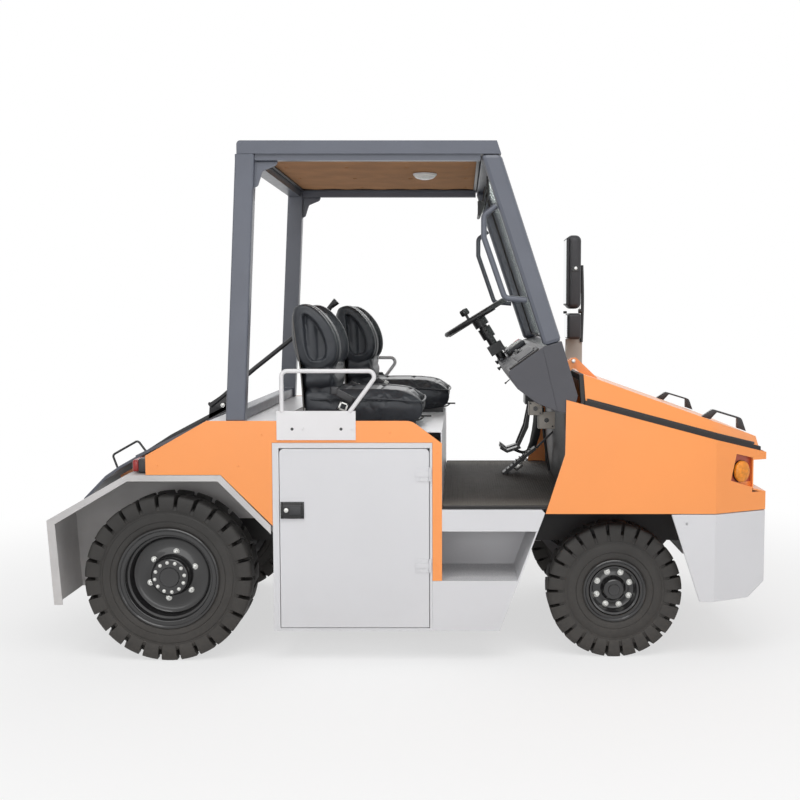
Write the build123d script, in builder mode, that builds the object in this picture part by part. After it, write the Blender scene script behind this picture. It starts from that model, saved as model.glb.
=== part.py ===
"""Airport baggage tug: a two-seat tow tractor with canopy, in millimetres.

X runs forward, Y to the driver's left, Z up. The origin is on the ground below the middle of
the machine's outline. Sides are numbered -1 for right and +1 for left.
"""

from build123d import *
import os
from math import atan2, cos, degrees, radians, sin, tan

os.makedirs("parts", exist_ok=True)

# ---------------------------------------------------------------- driving dimensions
SIDES = {"right": -1, "left": 1}

HALF_WIDTH = 750              # body sides
SHEET = 5                     # body sheet
SEAT_GAP = 0.3                # between pieces that are bolted or laid together

# the two axles are the datums along the machine
REAR_OVERHANG = 500
WHEELBASE = 1912
FRONT_OVERHANG = 652
HALF_LENGTH = (REAR_OVERHANG + WHEELBASE + FRONT_OVERHANG) / 2
REAR_AXLE_X = REAR_OVERHANG - HALF_LENGTH
FRONT_AXLE_X = REAR_AXLE_X + WHEELBASE

# wheels: tyre radius and width, rim seat and flange radii, disc plane outside the middle,
# |Y| of the middle, wheel nuts and their circle, hub radius and reach, brake drum radius
REAR_WHEEL = dict(radius=356, width=200, seat=190, flange=216, disc=10, track=HALF_WIDTH - 125,
                  nuts=6, nut_circle=103, hub=82, hub_reach=62, drum=150)
FRONT_WHEEL = dict(radius=290, width=160, seat=114, flange=134, disc=18, track=HALF_WIDTH - 160,
                   nuts=8, nut_circle=76, hub=48, hub_reach=42, drum=88)
LUGS = 26                     # round each shoulder of a tyre
LUG_SLOT = 15                 # slot between two lugs, along the tread
LUG_DEPTH = 30                # slot, inwards from the tread
LUG_REACH = 0.62              # slot, inwards from the shoulder, as a share of half the width
RIM_WALL = 7
FLANGE_THICK = 8
FLANGE_INSET = 4              # flange face inside the tyre's widest face
NUT_RADIUS = 12
NUT_LENGTH = 22
HUB_GAP = 0.5                 # running gap at hub faces and kingpin faces
KINGPIN_Y = FRONT_WHEEL["track"] - 125
KINGPIN_RADIUS = 32
KINGPIN_HALF_HEIGHT = 100
YOKE_PLATE = 22

# frame
RAIL_Y = (235, 305)
RAIL_Z = (440, 560)
RAIL_X = (REAR_AXLE_X - 331.7, FRONT_AXLE_X + 356)

# body heights and stations
FLOOR_Z = 665                 # top of the floor plate
MAT = 8
SILL_Z = 641                  # lower edge of the nose panels
CAB_LENGTH = 672              # side cabinets
CAB_X = (REAR_AXLE_X + 456, REAR_AXLE_X + 456 + CAB_LENGTH)
CAB_Z = (139, 942)
CAB_INNER_Y = HALF_WIDTH - 350
FRONT_WALL_X = CAB_X[1] + 41  # front face of the seat box
DECK_Z = 990                  # top of the seat deck
SIDE_TOP_Z = DECK_Z + 45       # top edge of the rear side panels
DOOR_X = (CAB_X[0] + 30, CAB_X[1] - 13)
DOOR_Z = (CAB_Z[0] + 15, CAB_Z[1] - 25)
DOOR_THICK = 20
DOOR_GAP = 3
HINGE_OUT = 6                 # hinge line outside the body side
HINGE_HEIGHTS = (421, 810)
HINGE_LENGTH = 58

# rear fender outline, from the rear lower corner over the wheel to the cabinet
FENDER = ((REAR_AXLE_X - 476, 251), (-HALF_LENGTH, 612), (REAR_AXLE_X - 163, 805),
          (REAR_AXLE_X + 237, 805), (CAB_X[0] - 9, 590))
FENDER_LIP = 26
FENDER_INNER_Y = CAB_INNER_Y

# nose
NOSE_FRONT_X = HALF_LENGTH
NOSE_CORNER_X = NOSE_FRONT_X - 242    # where the side folds inwards
NOSE_FRONT_Y = HALF_WIDTH - 120
NOSE_REAR_X = FRONT_AXLE_X - 222
NOSE_TOP_Z = 1123             # top edge at NOSE_REAR_X
NOSE_FALL = 0.267             # fall of the top edge per unit of length
NICHE_X = NOSE_FRONT_X - 62   # lamp niche
NICHE_Z = (737, 859)
BUMPER_Z = (264, 638)
BUMPER_SHEET = 8

# hood
HOOD_SEAL = 18
HOOD_REAR_X = NOSE_REAR_X + 82
HOOD_FRONT_X = NOSE_FRONT_X - 36
HOOD_EDGE_Y = HALF_WIDTH - 15
HOOD_BEVEL = 85               # how far the top ridge lies inside the lower edge
HOOD_REAR_RISE = 106          # height of the hood over its seal at the rear
HOOD_FRONT_RISE = 36
HOOD_SHEET = 4
HOOD_PIVOT = (NOSE_REAR_X + 57, NOSE_TOP_Z + 152)
HOOD_HINGE_Y = 440

# cab console, from the rear edge of the nose panels
CONSOLE_SHAPE = ((-240, 1224), (-240, 1242), (-95, 1346), (-20, 1368), (49, 1140), (32, 1062),
                 (-35, 1072), (-125, 1109), (-204, 1168))
CONSOLE = tuple((NOSE_REAR_X + run, z) for run, z in CONSOLE_SHAPE)
CONSOLE_Y = HALF_WIDTH - 8

# canopy
ROOF_TOP_Z = 2194
ROOF_X = (REAR_AXLE_X + 324, NOSE_REAR_X - 293)
ROOF_BEAM = 54
ROOF_LIP = 26
CANOPY_Y = HALF_WIDTH - 5
POST_THICK = 60
POST_WIDTH = 80
POST_BASE_X = ROOF_X[0] - 62  # rear edge of the rear post at its foot
POST_TOP_X = ROOF_X[0] - 8    # rear edge of the rear post at its head
PILLAR_FOOT = (NOSE_REAR_X - 95, 1346)   # rear lower edge of the front pillar
PILLAR_WIDTH_X = 84

# seats and steering
SEAT_Y = HALF_WIDTH / 2
SEAT_WIDTH = 490
SEAT_REAR_X = CAB_X[0] + 106
DRIVER_FORWARD = 108          # the driver's seat stands further forward
STEER_CENTRE = (NOSE_REAR_X - 359, 1470)
STEER_TILT = 31.7             # wheel plane above the horizontal, degrees
STEER_RADIUS = 192
STEER_GRIP = 13
KNOB_TURN = 256               # place of the knob on the rim, degrees

# tow points
TOW_BORE_RADIUS = 16
HITCH_Z = (280, 380)          # jaw of the rear hitch


# ---------------------------------------------------------------- shared shapes
def outline(plane, points):
    """A filled polygon on a plane."""
    with BuildSketch(plane) as profile:
        with BuildLine():
            Polyline(*points, close=True)
        make_face()
    return profile.sketch


def side_plane(y):
    """The X-Z plane at a given Y; its normal points to the right side, -Y."""
    return Plane.XZ.offset(-y)


def prism(points, y_from, y_to, mode=Mode.ADD):
    """An X-Z outline carried across the machine from one Y to another."""
    low, high = sorted((y_from, y_to))
    extrude(outline(side_plane(high), points), amount=high - low, mode=mode)


def slab(points, z_from, z_to, mode=Mode.ADD):
    """An X-Y outline carried upwards."""
    extrude(outline(Plane.XY.offset(z_from), points), amount=z_to - z_from, mode=mode)


def block(x, y, z, mode=Mode.ADD):
    """A box from three (low, high) pairs."""
    spans = [sorted(pair) for pair in (x, y, z)]
    with Locations(tuple((low + high) / 2 for low, high in spans)):
        Box(*(high - low for low, high in spans), mode=mode)


def across(x, z, radius, y_from, y_to, mode=Mode.ADD):
    """A cylinder along Y."""
    low, high = sorted((y_from, y_to))
    with BuildSketch(side_plane(high)) as disc:
        with Locations((x, z)):
            Circle(radius)
    extrude(disc.sketch, amount=high - low, mode=mode)


def upright(x, y, radius, z_from, z_to, mode=Mode.ADD):
    """A cylinder along Z."""
    with BuildSketch(Plane.XY.offset(z_from)) as disc:
        with Locations((x, y)):
            Circle(radius)
    extrude(disc.sketch, amount=z_to - z_from, mode=mode)


def bent_tube(points, bend, radius):
    """A round bar along straight runs joined by equal bends."""
    with BuildLine() as route:
        FilletPolyline(*points, radius=bend)
    start = Plane(origin=route.line @ 0, z_dir=route.line % 0)
    with BuildSketch(start) as section:
        Circle(radius)
    sweep(sections=section.sketch, path=route.line)


def turned(centre_x, centre_z, points):
    """Revolve (Y, radius) points about the axle line at a centre."""
    axle = Plane(origin=(centre_x, 0, centre_z), x_dir=(0, 1, 0), z_dir=(1, 0, 0))
    revolve(outline(axle, points), axis=Axis((centre_x, 0, centre_z), (0, 1, 0)))


def nose_top(x):
    """Height of the nose panels' sloping top edge."""
    return NOSE_TOP_Z - NOSE_FALL * (x - NOSE_REAR_X)


def nose_plan(inset=0, front=NOSE_FRONT_X, rear=NOSE_REAR_X):
    """Plan outline of the nose with its two folded corners."""
    fold = (HALF_WIDTH - NOSE_FRONT_Y) / (NOSE_FRONT_X - NOSE_CORNER_X)
    side = HALF_WIDTH - inset
    corner = NOSE_CORNER_X - inset * fold / 2
    tip_x = front - inset
    tip_y = side - (tip_x - corner) * fold
    return [(rear, -side), (corner, -side), (tip_x, -tip_y), (tip_x, tip_y), (corner, side), (rear, side)]


# ---------------------------------------------------------------- wheels
def flats(axle_x, wheel, radius, y, out=1):
    """A polygon round the axle line with one flat for each lug, a flat down."""
    hub = Plane(origin=(axle_x, y, wheel["radius"]), x_dir=(1, 0, 0), z_dir=(0, out, 0))
    with BuildSketch(hub) as ring:
        RegularPolygon(radius, LUGS, major_radius=False, rotation=180 / LUGS - 90)
    return ring.sketch


def lug_slot(axle_x, wheel, y, hand, turn):
    """One slot of a shoulder, at a corner between two flats: deepest at the side, and running out in the tread."""
    angle = radians((turn + 0.5) * 360 / LUGS - 90)
    plane = Plane(origin=(axle_x, y, wheel["radius"]), x_dir=(0, hand, 0),
                  z_dir=(hand * sin(angle), 0, -hand * cos(angle)))
    half = wheel["width"] / 2
    ramp = LUG_DEPTH / (LUG_REACH * half)
    past_side, past_tread = 5, 6
    foot, head = wheel["radius"] - LUG_DEPTH, wheel["radius"] + past_tread
    return outline(plane, ((half + past_side, foot - past_side * ramp), (half + past_side, head),
                           ((1 - LUG_REACH) * half - past_tread / ramp, head)))


def rim_points(wheel, side):
    """Rim, dish, drum and hub as one (Y, radius) outline from the outside inwards."""
    mid = side * wheel["track"]
    half = wheel["width"] / 2
    lip = half - FLANGE_INSET
    disc = mid + side * wheel["disc"]
    inner = mid - side * (half - 14)
    bore = wheel["seat"] - RIM_WALL
    hub_face = disc + side * wheel["hub_reach"]
    return [
        (inner, 0),
        (inner, wheel["drum"]),
        (disc - side * 30, wheel["drum"]),
        (disc - side * 30, bore),
        (mid - side * lip, bore),
        (mid - side * lip, wheel["flange"]),
        (mid - side * (lip - FLANGE_THICK), wheel["flange"]),
        (mid - side * (lip - FLANGE_THICK), wheel["seat"]),
        (mid + side * (lip - FLANGE_THICK), wheel["seat"]),
        (mid + side * (lip - FLANGE_THICK), wheel["flange"]),
        (mid + side * lip, wheel["flange"]),
        (mid + side * lip, bore),
        (disc + side * 25, bore),
        (disc, bore - 22),
        (disc, wheel["hub"] + 6),
        (hub_face - side * 16, wheel["hub"] + 6),
        (hub_face - side * 16, wheel["hub"]),
        (hub_face, wheel["hub"] - 6),
        (hub_face, 0),
    ]


for end, wheel, axle_x in (("rear", REAR_WHEEL, REAR_AXLE_X), ("front", FRONT_WHEEL, FRONT_AXLE_X)):
    for name, side in SIDES.items():
        with BuildPart() as tyre:
            mid = side * wheel["track"]
            half = wheel["width"] / 2
            bead = half - FLANGE_INSET - FLANGE_THICK - SEAT_GAP
            over = wheel["flange"] + 1
            depth = wheel["radius"] - over
            extrude(flats(axle_x, wheel, wheel["radius"], mid), amount=0.9 * half, both=True)
            for hand in (-1, 1):
                fall = degrees(atan2(0.16 * depth, 0.1 * half))
                extrude(flats(axle_x, wheel, wheel["radius"], mid + hand * 0.9 * half, hand), amount=0.1 * half, taper=fall)
                dish = degrees(atan2(0.12 * depth, half - bead))
                extrude(flats(axle_x, wheel, over + 0.12 * depth, mid + hand * half, -hand), amount=half - bead,
                        taper=dish, mode=Mode.SUBTRACT)
            with BuildPart(mode=Mode.SUBTRACT):
                for hand in (-1, 1):
                    for turn in range(LUGS):
                        extrude(lug_slot(axle_x, wheel, mid, hand, turn), amount=LUG_SLOT / 2, both=True)
            extrude(flats(axle_x, wheel, wheel["seat"] + SEAT_GAP, mid), amount=half, both=True, mode=Mode.SUBTRACT)
        tyre.part.label = f"{end}_tyre_{name}"
        export_step(tyre.part, f"parts/{end}_tyre_{name}.step")

        with BuildPart() as rim:
            turned(axle_x, wheel["radius"], rim_points(wheel, side))
            disc_y = side * (wheel["track"] + wheel["disc"])
            for turn in range(wheel["nuts"]):
                angle = radians(turn * 360 / wheel["nuts"] + 20)
                nut_x = axle_x + wheel["nut_circle"] * cos(angle)
                nut_z = wheel["radius"] + wheel["nut_circle"] * sin(angle)
                across(nut_x, nut_z, NUT_RADIUS, disc_y - side * 5, disc_y + side * NUT_LENGTH)
        rim.part.label = f"{end}_rim_{name}"
        export_step(rim.part, f"parts/{end}_rim_{name}.step")


# ---------------------------------------------------------------- axles and steering knuckles
REAR_HUB_Y = REAR_WHEEL["track"] - REAR_WHEEL["width"] / 2 + 14 - HUB_GAP
FRONT_HUB_Y = FRONT_WHEEL["track"] - FRONT_WHEEL["width"] / 2 + 14 - HUB_GAP
REAR_Z = REAR_WHEEL["radius"]
FRONT_Z = FRONT_WHEEL["radius"]
RAIL_MID_Y = sum(RAIL_Y) / 2
SPRING_HALF_WIDTH = 30

with BuildPart() as rear_axle:
    across(REAR_AXLE_X, REAR_Z, 58, -REAR_HUB_Y, REAR_HUB_Y)
    across(REAR_AXLE_X, REAR_Z, 140, -110, 110)
    for side in SIDES.values():
        across(REAR_AXLE_X, REAR_Z, 120, side * (REAR_HUB_Y - 16), side * REAR_HUB_Y)
        spring = (side * (RAIL_MID_Y - SPRING_HALF_WIDTH), side * (RAIL_MID_Y + SPRING_HALF_WIDTH))
        block((REAR_AXLE_X - 90, REAR_AXLE_X + 90), spring, (REAR_Z, RAIL_Z[0] - SEAT_GAP))
rear_axle.part.label = "rear_axle"
export_step(rear_axle.part, "parts/rear_axle.step")

with BuildPart() as front_axle:
    beam_end = KINGPIN_Y - KINGPIN_RADIUS - 8
    block((FRONT_AXLE_X - 45, FRONT_AXLE_X + 45), (-beam_end, beam_end), (FRONT_Z - 45, FRONT_Z + 45))
    for side in SIDES.values():
        web = (side * (beam_end - 40), side * beam_end)
        reach = KINGPIN_HALF_HEIGHT + HUB_GAP + YOKE_PLATE
        block((FRONT_AXLE_X - 34, FRONT_AXLE_X + 34), web, (FRONT_Z - reach, FRONT_Z + reach))
        for level in (-reach, reach - YOKE_PLATE):
            foot = FRONT_Z + level
            arm = (side * (beam_end - 40), side * KINGPIN_Y)
            block((FRONT_AXLE_X - 34, FRONT_AXLE_X + 34), arm, (foot, foot + YOKE_PLATE))
            upright(FRONT_AXLE_X, side * KINGPIN_Y, 34, foot, foot + YOKE_PLATE)
        spring = (side * (RAIL_MID_Y - SPRING_HALF_WIDTH), side * (RAIL_MID_Y + SPRING_HALF_WIDTH))
        spring_top = RAIL_Z[0] - SEAT_GAP
        block((FRONT_AXLE_X - 60, FRONT_AXLE_X + 60), spring, (FRONT_Z, FRONT_Z + 75))
        prism(((FRONT_AXLE_X - 290, spring_top), (FRONT_AXLE_X - 240, FRONT_Z + 90),
               (FRONT_AXLE_X, FRONT_Z + 50), (FRONT_AXLE_X + 240, FRONT_Z + 90),
               (FRONT_AXLE_X + 290, spring_top), (FRONT_AXLE_X + 250, spring_top),
               (FRONT_AXLE_X + 200, FRONT_Z + 115), (FRONT_AXLE_X, FRONT_Z + 80),
               (FRONT_AXLE_X - 200, FRONT_Z + 115), (FRONT_AXLE_X - 250, spring_top)), *spring)
front_axle.part.label = "front_axle"
export_step(front_axle.part, "parts/front_axle.step")

for name, side in SIDES.items():
    with BuildPart() as knuckle:
        low = FRONT_Z - KINGPIN_HALF_HEIGHT
        high = FRONT_Z + KINGPIN_HALF_HEIGHT
        upright(FRONT_AXLE_X, side * KINGPIN_Y, KINGPIN_RADIUS, low, high)
        across(FRONT_AXLE_X, FRONT_Z, 40, side * KINGPIN_Y, side * FRONT_HUB_Y)
        across(FRONT_AXLE_X, FRONT_Z, 78, side * (FRONT_HUB_Y - 14), side * FRONT_HUB_Y)
        steering_arm = (side * (KINGPIN_Y - 12), side * (KINGPIN_Y + 12))
        block((FRONT_AXLE_X - 150, FRONT_AXLE_X), steering_arm, (FRONT_Z - 70, FRONT_Z - 50))
    knuckle.part.label = f"front_knuckle_{name}"
    export_step(knuckle.part, f"parts/front_knuckle_{name}.step")


# ---------------------------------------------------------------- frame and running gear
with BuildPart() as frame_rails:
    for side in SIDES.values():
        block(RAIL_X, (side * RAIL_Y[0], side * RAIL_Y[1]), RAIL_Z)
frame_rails.part.label = "frame_rails"
export_step(frame_rails.part, "parts/frame_rails.step")

CROSS_INNER = RAIL_Y[0] - SEAT_GAP
ENGINE_X = (FRONT_AXLE_X - 120, FRONT_AXLE_X + 310)
GEARBOX_X = (CAB_X[1] - 56, FRONT_AXLE_X - 280)
with BuildPart() as engine_block:
    block(ENGINE_X, (-CROSS_INNER, CROSS_INNER), (RAIL_Z[0] + 10, RAIL_Z[1]))
    block(ENGINE_X, (-190, 190), (RAIL_Z[1], 880))
    # gearbox between the rails, further back
    block(GEARBOX_X, (-130, 130), (400, 620))
    block((GEARBOX_X[0], GEARBOX_X[0] + 100), (-CROSS_INNER, CROSS_INNER), (450, 550))
engine_block.part.label = "engine_block"
export_step(engine_block.part, "parts/engine_block.step")

HITCH_BACK_X = REAR_AXLE_X - 348
HITCH_PIN_X = REAR_AXLE_X - 448
with BuildPart() as hitch_coupler:
    block((HITCH_BACK_X, HITCH_BACK_X + 16), (-CAB_INNER_Y + SEAT_GAP, CAB_INNER_Y - SEAT_GAP), (262, 636))
    for foot in (HITCH_Z[0] - 24, HITCH_Z[1]):
        block((HITCH_PIN_X, HITCH_BACK_X), (-60, 60), (foot, foot + 24))
        upright(HITCH_PIN_X, 0, 48, foot, foot + 24)
        upright(HITCH_PIN_X, 0, TOW_BORE_RADIUS, foot - 1, foot + 25, mode=Mode.SUBTRACT)
hitch_coupler.part.label = "hitch_coupler"
export_step(hitch_coupler.part, "parts/hitch_coupler.step")

with BuildPart() as hitch_pin:
    upright(HITCH_PIN_X, 0, TOW_BORE_RADIUS - 0.05, HITCH_Z[0] - 24, HITCH_Z[1] + 60)
    upright(HITCH_PIN_X, 0, TOW_BORE_RADIUS + 8, HITCH_Z[1] + 24 + SEAT_GAP, HITCH_Z[1] + 36)
    bent_tube(((HITCH_PIN_X, -24, HITCH_Z[1] + 50), (HITCH_PIN_X, -24, HITCH_Z[1] + 92),
               (HITCH_PIN_X, 24, HITCH_Z[1] + 92), (HITCH_PIN_X, 24, HITCH_Z[1] + 50)), 18, 5)
    across(HITCH_PIN_X, HITCH_Z[1] + 50, 6, -28, 28)
hitch_pin.part.label = "hitch_pin"
export_step(hitch_pin.part, "parts/hitch_pin.step")


# ---------------------------------------------------------------- floor, steps and seat box
FLOOR_FRONT_X = NOSE_REAR_X + 26
with BuildPart() as floor_plate:
    block((FRONT_WALL_X, FLOOR_FRONT_X), (-(HALF_WIDTH - SHEET - SEAT_GAP), HALF_WIDTH - SHEET - SEAT_GAP),
          (FLOOR_Z - SHEET, FLOOR_Z))
    for side in SIDES.values():
        block((FRONT_WALL_X + 10, FLOOR_FRONT_X - 10), (side * 262, side * 278),
              (RAIL_Z[1] + SEAT_GAP, FLOOR_Z - SHEET))
    # bulkhead up to the console
    block((FLOOR_FRONT_X, FLOOR_FRONT_X + SHEET), (-CONSOLE_Y, CONSOLE_Y), (FLOOR_Z - SHEET, min(z for run, z in CONSOLE_SHAPE) - 1))
floor_plate.part.label = "floor_plate"
export_step(floor_plate.part, "parts/floor_plate.step")

with BuildPart() as floor_mat:
    block((FRONT_WALL_X + 2, FLOOR_FRONT_X - 2), (-HALF_WIDTH + 12, HALF_WIDTH - 12),
          (FLOOR_Z, FLOOR_Z + MAT))
floor_mat.part.label = "floor_mat"
export_step(floor_mat.part, "parts/floor_mat.step")

STEP_TREAD_Z = 354
STEP_HEAD_Z = 566
STEP_FRONT = ((NOSE_REAR_X - 275, CAB_Z[0]), (NOSE_REAR_X - 84, SILL_Z + 8))   # foot and head of the slanted front edge
STEP_LEAN = (STEP_FRONT[1][0] - STEP_FRONT[0][0]) / (STEP_FRONT[1][1] - STEP_FRONT[0][1])


def step_edge(z):
    """X of the step's slanted front edge at a height."""
    return STEP_FRONT[0][0] + STEP_LEAN * (z - STEP_FRONT[0][1])


STEP_REAR_X = CAB_X[1] + 41
SKIRT_REAR_X = CAB_X[1] + 0.5
with BuildPart() as side_steps:
    top = FLOOR_Z - SHEET - 1
    for side in SIDES.values():
        outer = side * HALF_WIDTH
        inner = side * (CAB_INNER_Y + 10)
        # fascia under the floor edge
        prism(((STEP_REAR_X, STEP_HEAD_Z), (step_edge(STEP_HEAD_Z), STEP_HEAD_Z),
               (step_edge(top - 16), top - 16), (step_edge(top - 16) - 14, top), (STEP_REAR_X, top)),
              outer, outer - side * SHEET)
        # skirt below the tread
        prism(((SKIRT_REAR_X, CAB_Z[0]), (step_edge(CAB_Z[0]), CAB_Z[0]),
               (step_edge(STEP_TREAD_Z), STEP_TREAD_Z), (SKIRT_REAR_X, STEP_TREAD_Z)),
              outer, outer - side * SHEET)
        # tread, back wall and slanted front wall
        block((SKIRT_REAR_X, step_edge(STEP_TREAD_Z) - 2), (outer, inner), (STEP_TREAD_Z - SHEET, STEP_TREAD_Z))
        block((SKIRT_REAR_X, step_edge(STEP_TREAD_Z)), (inner, inner + side * SHEET), (STEP_TREAD_Z - SHEET, top))
        prism(((SKIRT_REAR_X, STEP_TREAD_Z), (step_edge(STEP_TREAD_Z), STEP_TREAD_Z),
               (step_edge(top - 16), top - 16), (step_edge(top - 16) - 14, top), (SKIRT_REAR_X, top)),
              inner, inner + side * SHEET)
        prism(((step_edge(CAB_Z[0]), CAB_Z[0]), (step_edge(top - 16), top - 16),
               (step_edge(top - 16) - 7, top - 16), (step_edge(CAB_Z[0]) - 7, CAB_Z[0])), outer, inner)
side_steps.part.label = "side_steps"
export_step(side_steps.part, "parts/side_steps.step")

SEAT_BOX_REAR_X = REAR_AXLE_X + 182
BULKHEAD_X = CAB_X[0] + 16     # behind the seats, where the deck steps up
with BuildPart() as seat_box:
    box_y = (-(HALF_WIDTH - SHEET - SEAT_GAP), HALF_WIDTH - SHEET - SEAT_GAP)
    block((FRONT_WALL_X - SHEET, FRONT_WALL_X - SEAT_GAP), box_y, (FLOOR_Z - SHEET, DECK_Z))
    block((BULKHEAD_X, FRONT_WALL_X - SHEET), box_y, (DECK_Z - SHEET, DECK_Z))
    block((BULKHEAD_X, BULKHEAD_X + SHEET), box_y, (DECK_Z - SHEET, SIDE_TOP_Z - 2))
    block((SEAT_BOX_REAR_X + 4, BULKHEAD_X + SHEET), box_y, (SIDE_TOP_Z - 2 - SHEET, SIDE_TOP_Z - 2))
    for side in SIDES.values():
        block((BULKHEAD_X, FRONT_WALL_X - SHEET), (side * 262, side * 278), (RAIL_Z[1] + SEAT_GAP, DECK_Z - SHEET))
seat_box.part.label = "seat_box"
export_step(seat_box.part, "parts/seat_box.step")


# ---------------------------------------------------------------- side cabinets and their doors
with BuildPart() as cabinets:
    for side in SIDES.values():
        outer = side * HALF_WIDTH
        wall = side * CAB_INNER_Y
        block(CAB_X, (outer, wall), CAB_Z)
        block((CAB_X[0] + SHEET, CAB_X[1] - SHEET), (outer - side * (DOOR_THICK + 2), wall + side * SHEET),
              (CAB_Z[0] + SHEET, CAB_Z[1] - SHEET), mode=Mode.SUBTRACT)
        doorway_x = (DOOR_X[0] - DOOR_GAP, DOOR_X[1] + DOOR_GAP)
        doorway_z = (DOOR_Z[0] - DOOR_GAP, DOOR_Z[1] + DOOR_GAP)
        block(doorway_x, (outer + side, outer - side * (DOOR_THICK + 3)), doorway_z, mode=Mode.SUBTRACT)
        for height in HINGE_HEIGHTS:
            for shift in (-HINGE_LENGTH / 3, HINGE_LENGTH / 3):
                low = height + shift - HINGE_LENGTH / 6 + HUB_GAP / 2
                high = height + shift + HINGE_LENGTH / 6 - HUB_GAP / 2
                hinge_y = outer + side * HINGE_OUT
                upright(DOOR_X[1] + 4, hinge_y, HINGE_OUT - 0.5, low, high)
                block((DOOR_X[1] + 4, CAB_X[1]), (outer - side, outer + side * 3), (low, high))
cabinets.part.label = "cabinets"
export_step(cabinets.part, "parts/cabinets.step")

for name, side in SIDES.items():
    outer = side * HALF_WIDTH
    with BuildPart() as door:
        block(DOOR_X, (outer, outer - side * DOOR_THICK), DOOR_Z)
        top_corners = door.edges().filter_by(Axis.Y).sort_by(Axis.Z)[-2:]
        fillet(top_corners, radius=18)
        block((DOOR_X[0] + 6, DOOR_X[1] - 6), (outer - side * 4, outer - side * (DOOR_THICK + 1)),
              (DOOR_Z[0] + 6, DOOR_Z[1] - 24), mode=Mode.SUBTRACT)
        for height in HINGE_HEIGHTS:
            low = height - HINGE_LENGTH / 6 + HUB_GAP / 2
            high = height + HINGE_LENGTH / 6 - HUB_GAP / 2
            hinge_y = outer + side * HINGE_OUT
            upright(DOOR_X[1] + 4, hinge_y, HINGE_OUT - 0.5, low, high)
            block((DOOR_X[1] - 55, DOOR_X[1] + 4), (outer + side * 3, outer + side * (HINGE_OUT + 2)), (low, high))
            block((DOOR_X[1] - 55, DOOR_X[1] - 2), (outer - side, outer + side * 4),
                  (height - HINGE_LENGTH / 2, height + HINGE_LENGTH / 2))
        # paddle latch
        block((DOOR_X[0] + 2, DOOR_X[0] + 105), (outer - side, outer + side * 6), (620, 696))
    door.part.label = f"cabinet_door_{name}"
    export_step(door.part, f"parts/cabinet_door_{name}.step")


# ---------------------------------------------------------------- rear body: side panels, fenders, deck
PANEL_Y = (HALF_WIDTH - SHEET, HALF_WIDTH)
DECK_SLOPE = ((SEAT_BOX_REAR_X, SIDE_TOP_Z + 4), (REAR_AXLE_X - 176, 864), (REAR_AXLE_X - 291, 799),
              (REAR_AXLE_X - 359, 752), (REAR_AXLE_X - 458, 650))
PANEL_REAR_X = REAR_AXLE_X - 77
FENDER_TOP_Z = FENDER[2][1]

PANEL_SHOULDER_X = CAB_X[1] - 86
with BuildPart() as side_panels:
    for side in SIDES.values():
        near, far = side * PANEL_Y[0], side * PANEL_Y[1]
        prism(((PANEL_REAR_X, FENDER_TOP_Z + 1.5), (PANEL_REAR_X, 888), (SEAT_BOX_REAR_X, SIDE_TOP_Z),
               (PANEL_SHOULDER_X, SIDE_TOP_Z), (FRONT_WALL_X, CAB_Z[1] - 2), (FRONT_WALL_X, STEP_TREAD_Z + 1),
               (CAB_X[1] + 1, STEP_TREAD_Z + 1), (CAB_X[1] + 1, CAB_Z[1] + 1), (CAB_X[0] - 1, CAB_Z[1] + 1),
               (CAB_X[0] - 1, FENDER[4][1]), (FENDER[3][0] + 1, FENDER_TOP_Z + 1.5)), near, far)
    shoulder = side_panels.edges().filter_by(Axis.Y)
    shoulder = shoulder.filter_by_position(Axis.X, PANEL_SHOULDER_X - 5, PANEL_SHOULDER_X + 5)
    fillet(shoulder.filter_by_position(Axis.Z, SIDE_TOP_Z - 1, SIDE_TOP_Z + 1), radius=70)
side_panels.part.label = "side_panels"
export_step(side_panels.part, "parts/side_panels.step")

with BuildPart() as rear_fenders:
    for side in SIDES.values():
        outer = side * HALF_WIDTH
        wall = side * FENDER_INNER_Y
        rear_foot, rear_head, top_rear, top_front, front_foot = FENDER
        inner_rear_head = (rear_head[0] + SHEET, rear_head[1] - 3)
        # folded cover over the wheel with its downward lip
        prism((rear_foot, rear_head, top_rear, top_front, front_foot, (front_foot[0], front_foot[1] - 8),
               (top_front[0] - 2, top_front[1] - SHEET), (top_rear[0] + 1, top_rear[1] - SHEET),
               inner_rear_head, (rear_foot[0] + SHEET, rear_foot[1])), outer, wall)
        lip = FENDER_LIP
        prism((rear_foot, rear_head, top_rear, top_front, front_foot, (front_foot[0], front_foot[1] - lip - 10),
               (top_front[0] - 12, top_front[1] - lip), (top_rear[0] + 7, top_rear[1] - lip),
               (rear_head[0] + lip + 9, rear_head[1] - 15), (rear_foot[0] + lip + 10, rear_foot[1])),
              outer, outer - side * SHEET)
        # inner wall beside the tyre
        rail_z = RAIL_Z[1]
        prism((rear_foot, rear_head, top_rear, top_front, front_foot, (front_foot[0], 444),
               (top_front[0] + 95, rail_z), (rear_foot[0] + 148, rail_z), (rear_foot[0] + 118, 310),
               (rear_foot[0] + 46, rear_foot[1])), wall, wall + side * SHEET)
rear_fenders.part.label = "rear_fenders"
export_step(rear_fenders.part, "parts/rear_fenders.step")

with BuildPart() as rear_deck:
    (x0, z0), (x1, z1), (x2, z2), (x3, z3), (x4, z4) = DECK_SLOPE
    deck_fall = (z0 - z1) / (x0 - x1)
    deck_y = FENDER_INNER_Y + 150
    prism(((x0, z0), (x1, z1), (x1, z1 - 14), (x0, z0 - 16)), -deck_y, deck_y)
    inner_y = FENDER_INNER_Y - SEAT_GAP
    prism(((x1, z1), (x2, z2), (x3, z3), (x4, z4), (x4 + 2, z4 - 16), (x3 + 6, z3 - 12), (x2 + 4, z2 - 12),
           (x1, z1 - 14)), -inner_y, inner_y)
rear_deck.part.label = "rear_deck"
export_step(rear_deck.part, "parts/rear_deck.step")

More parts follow.
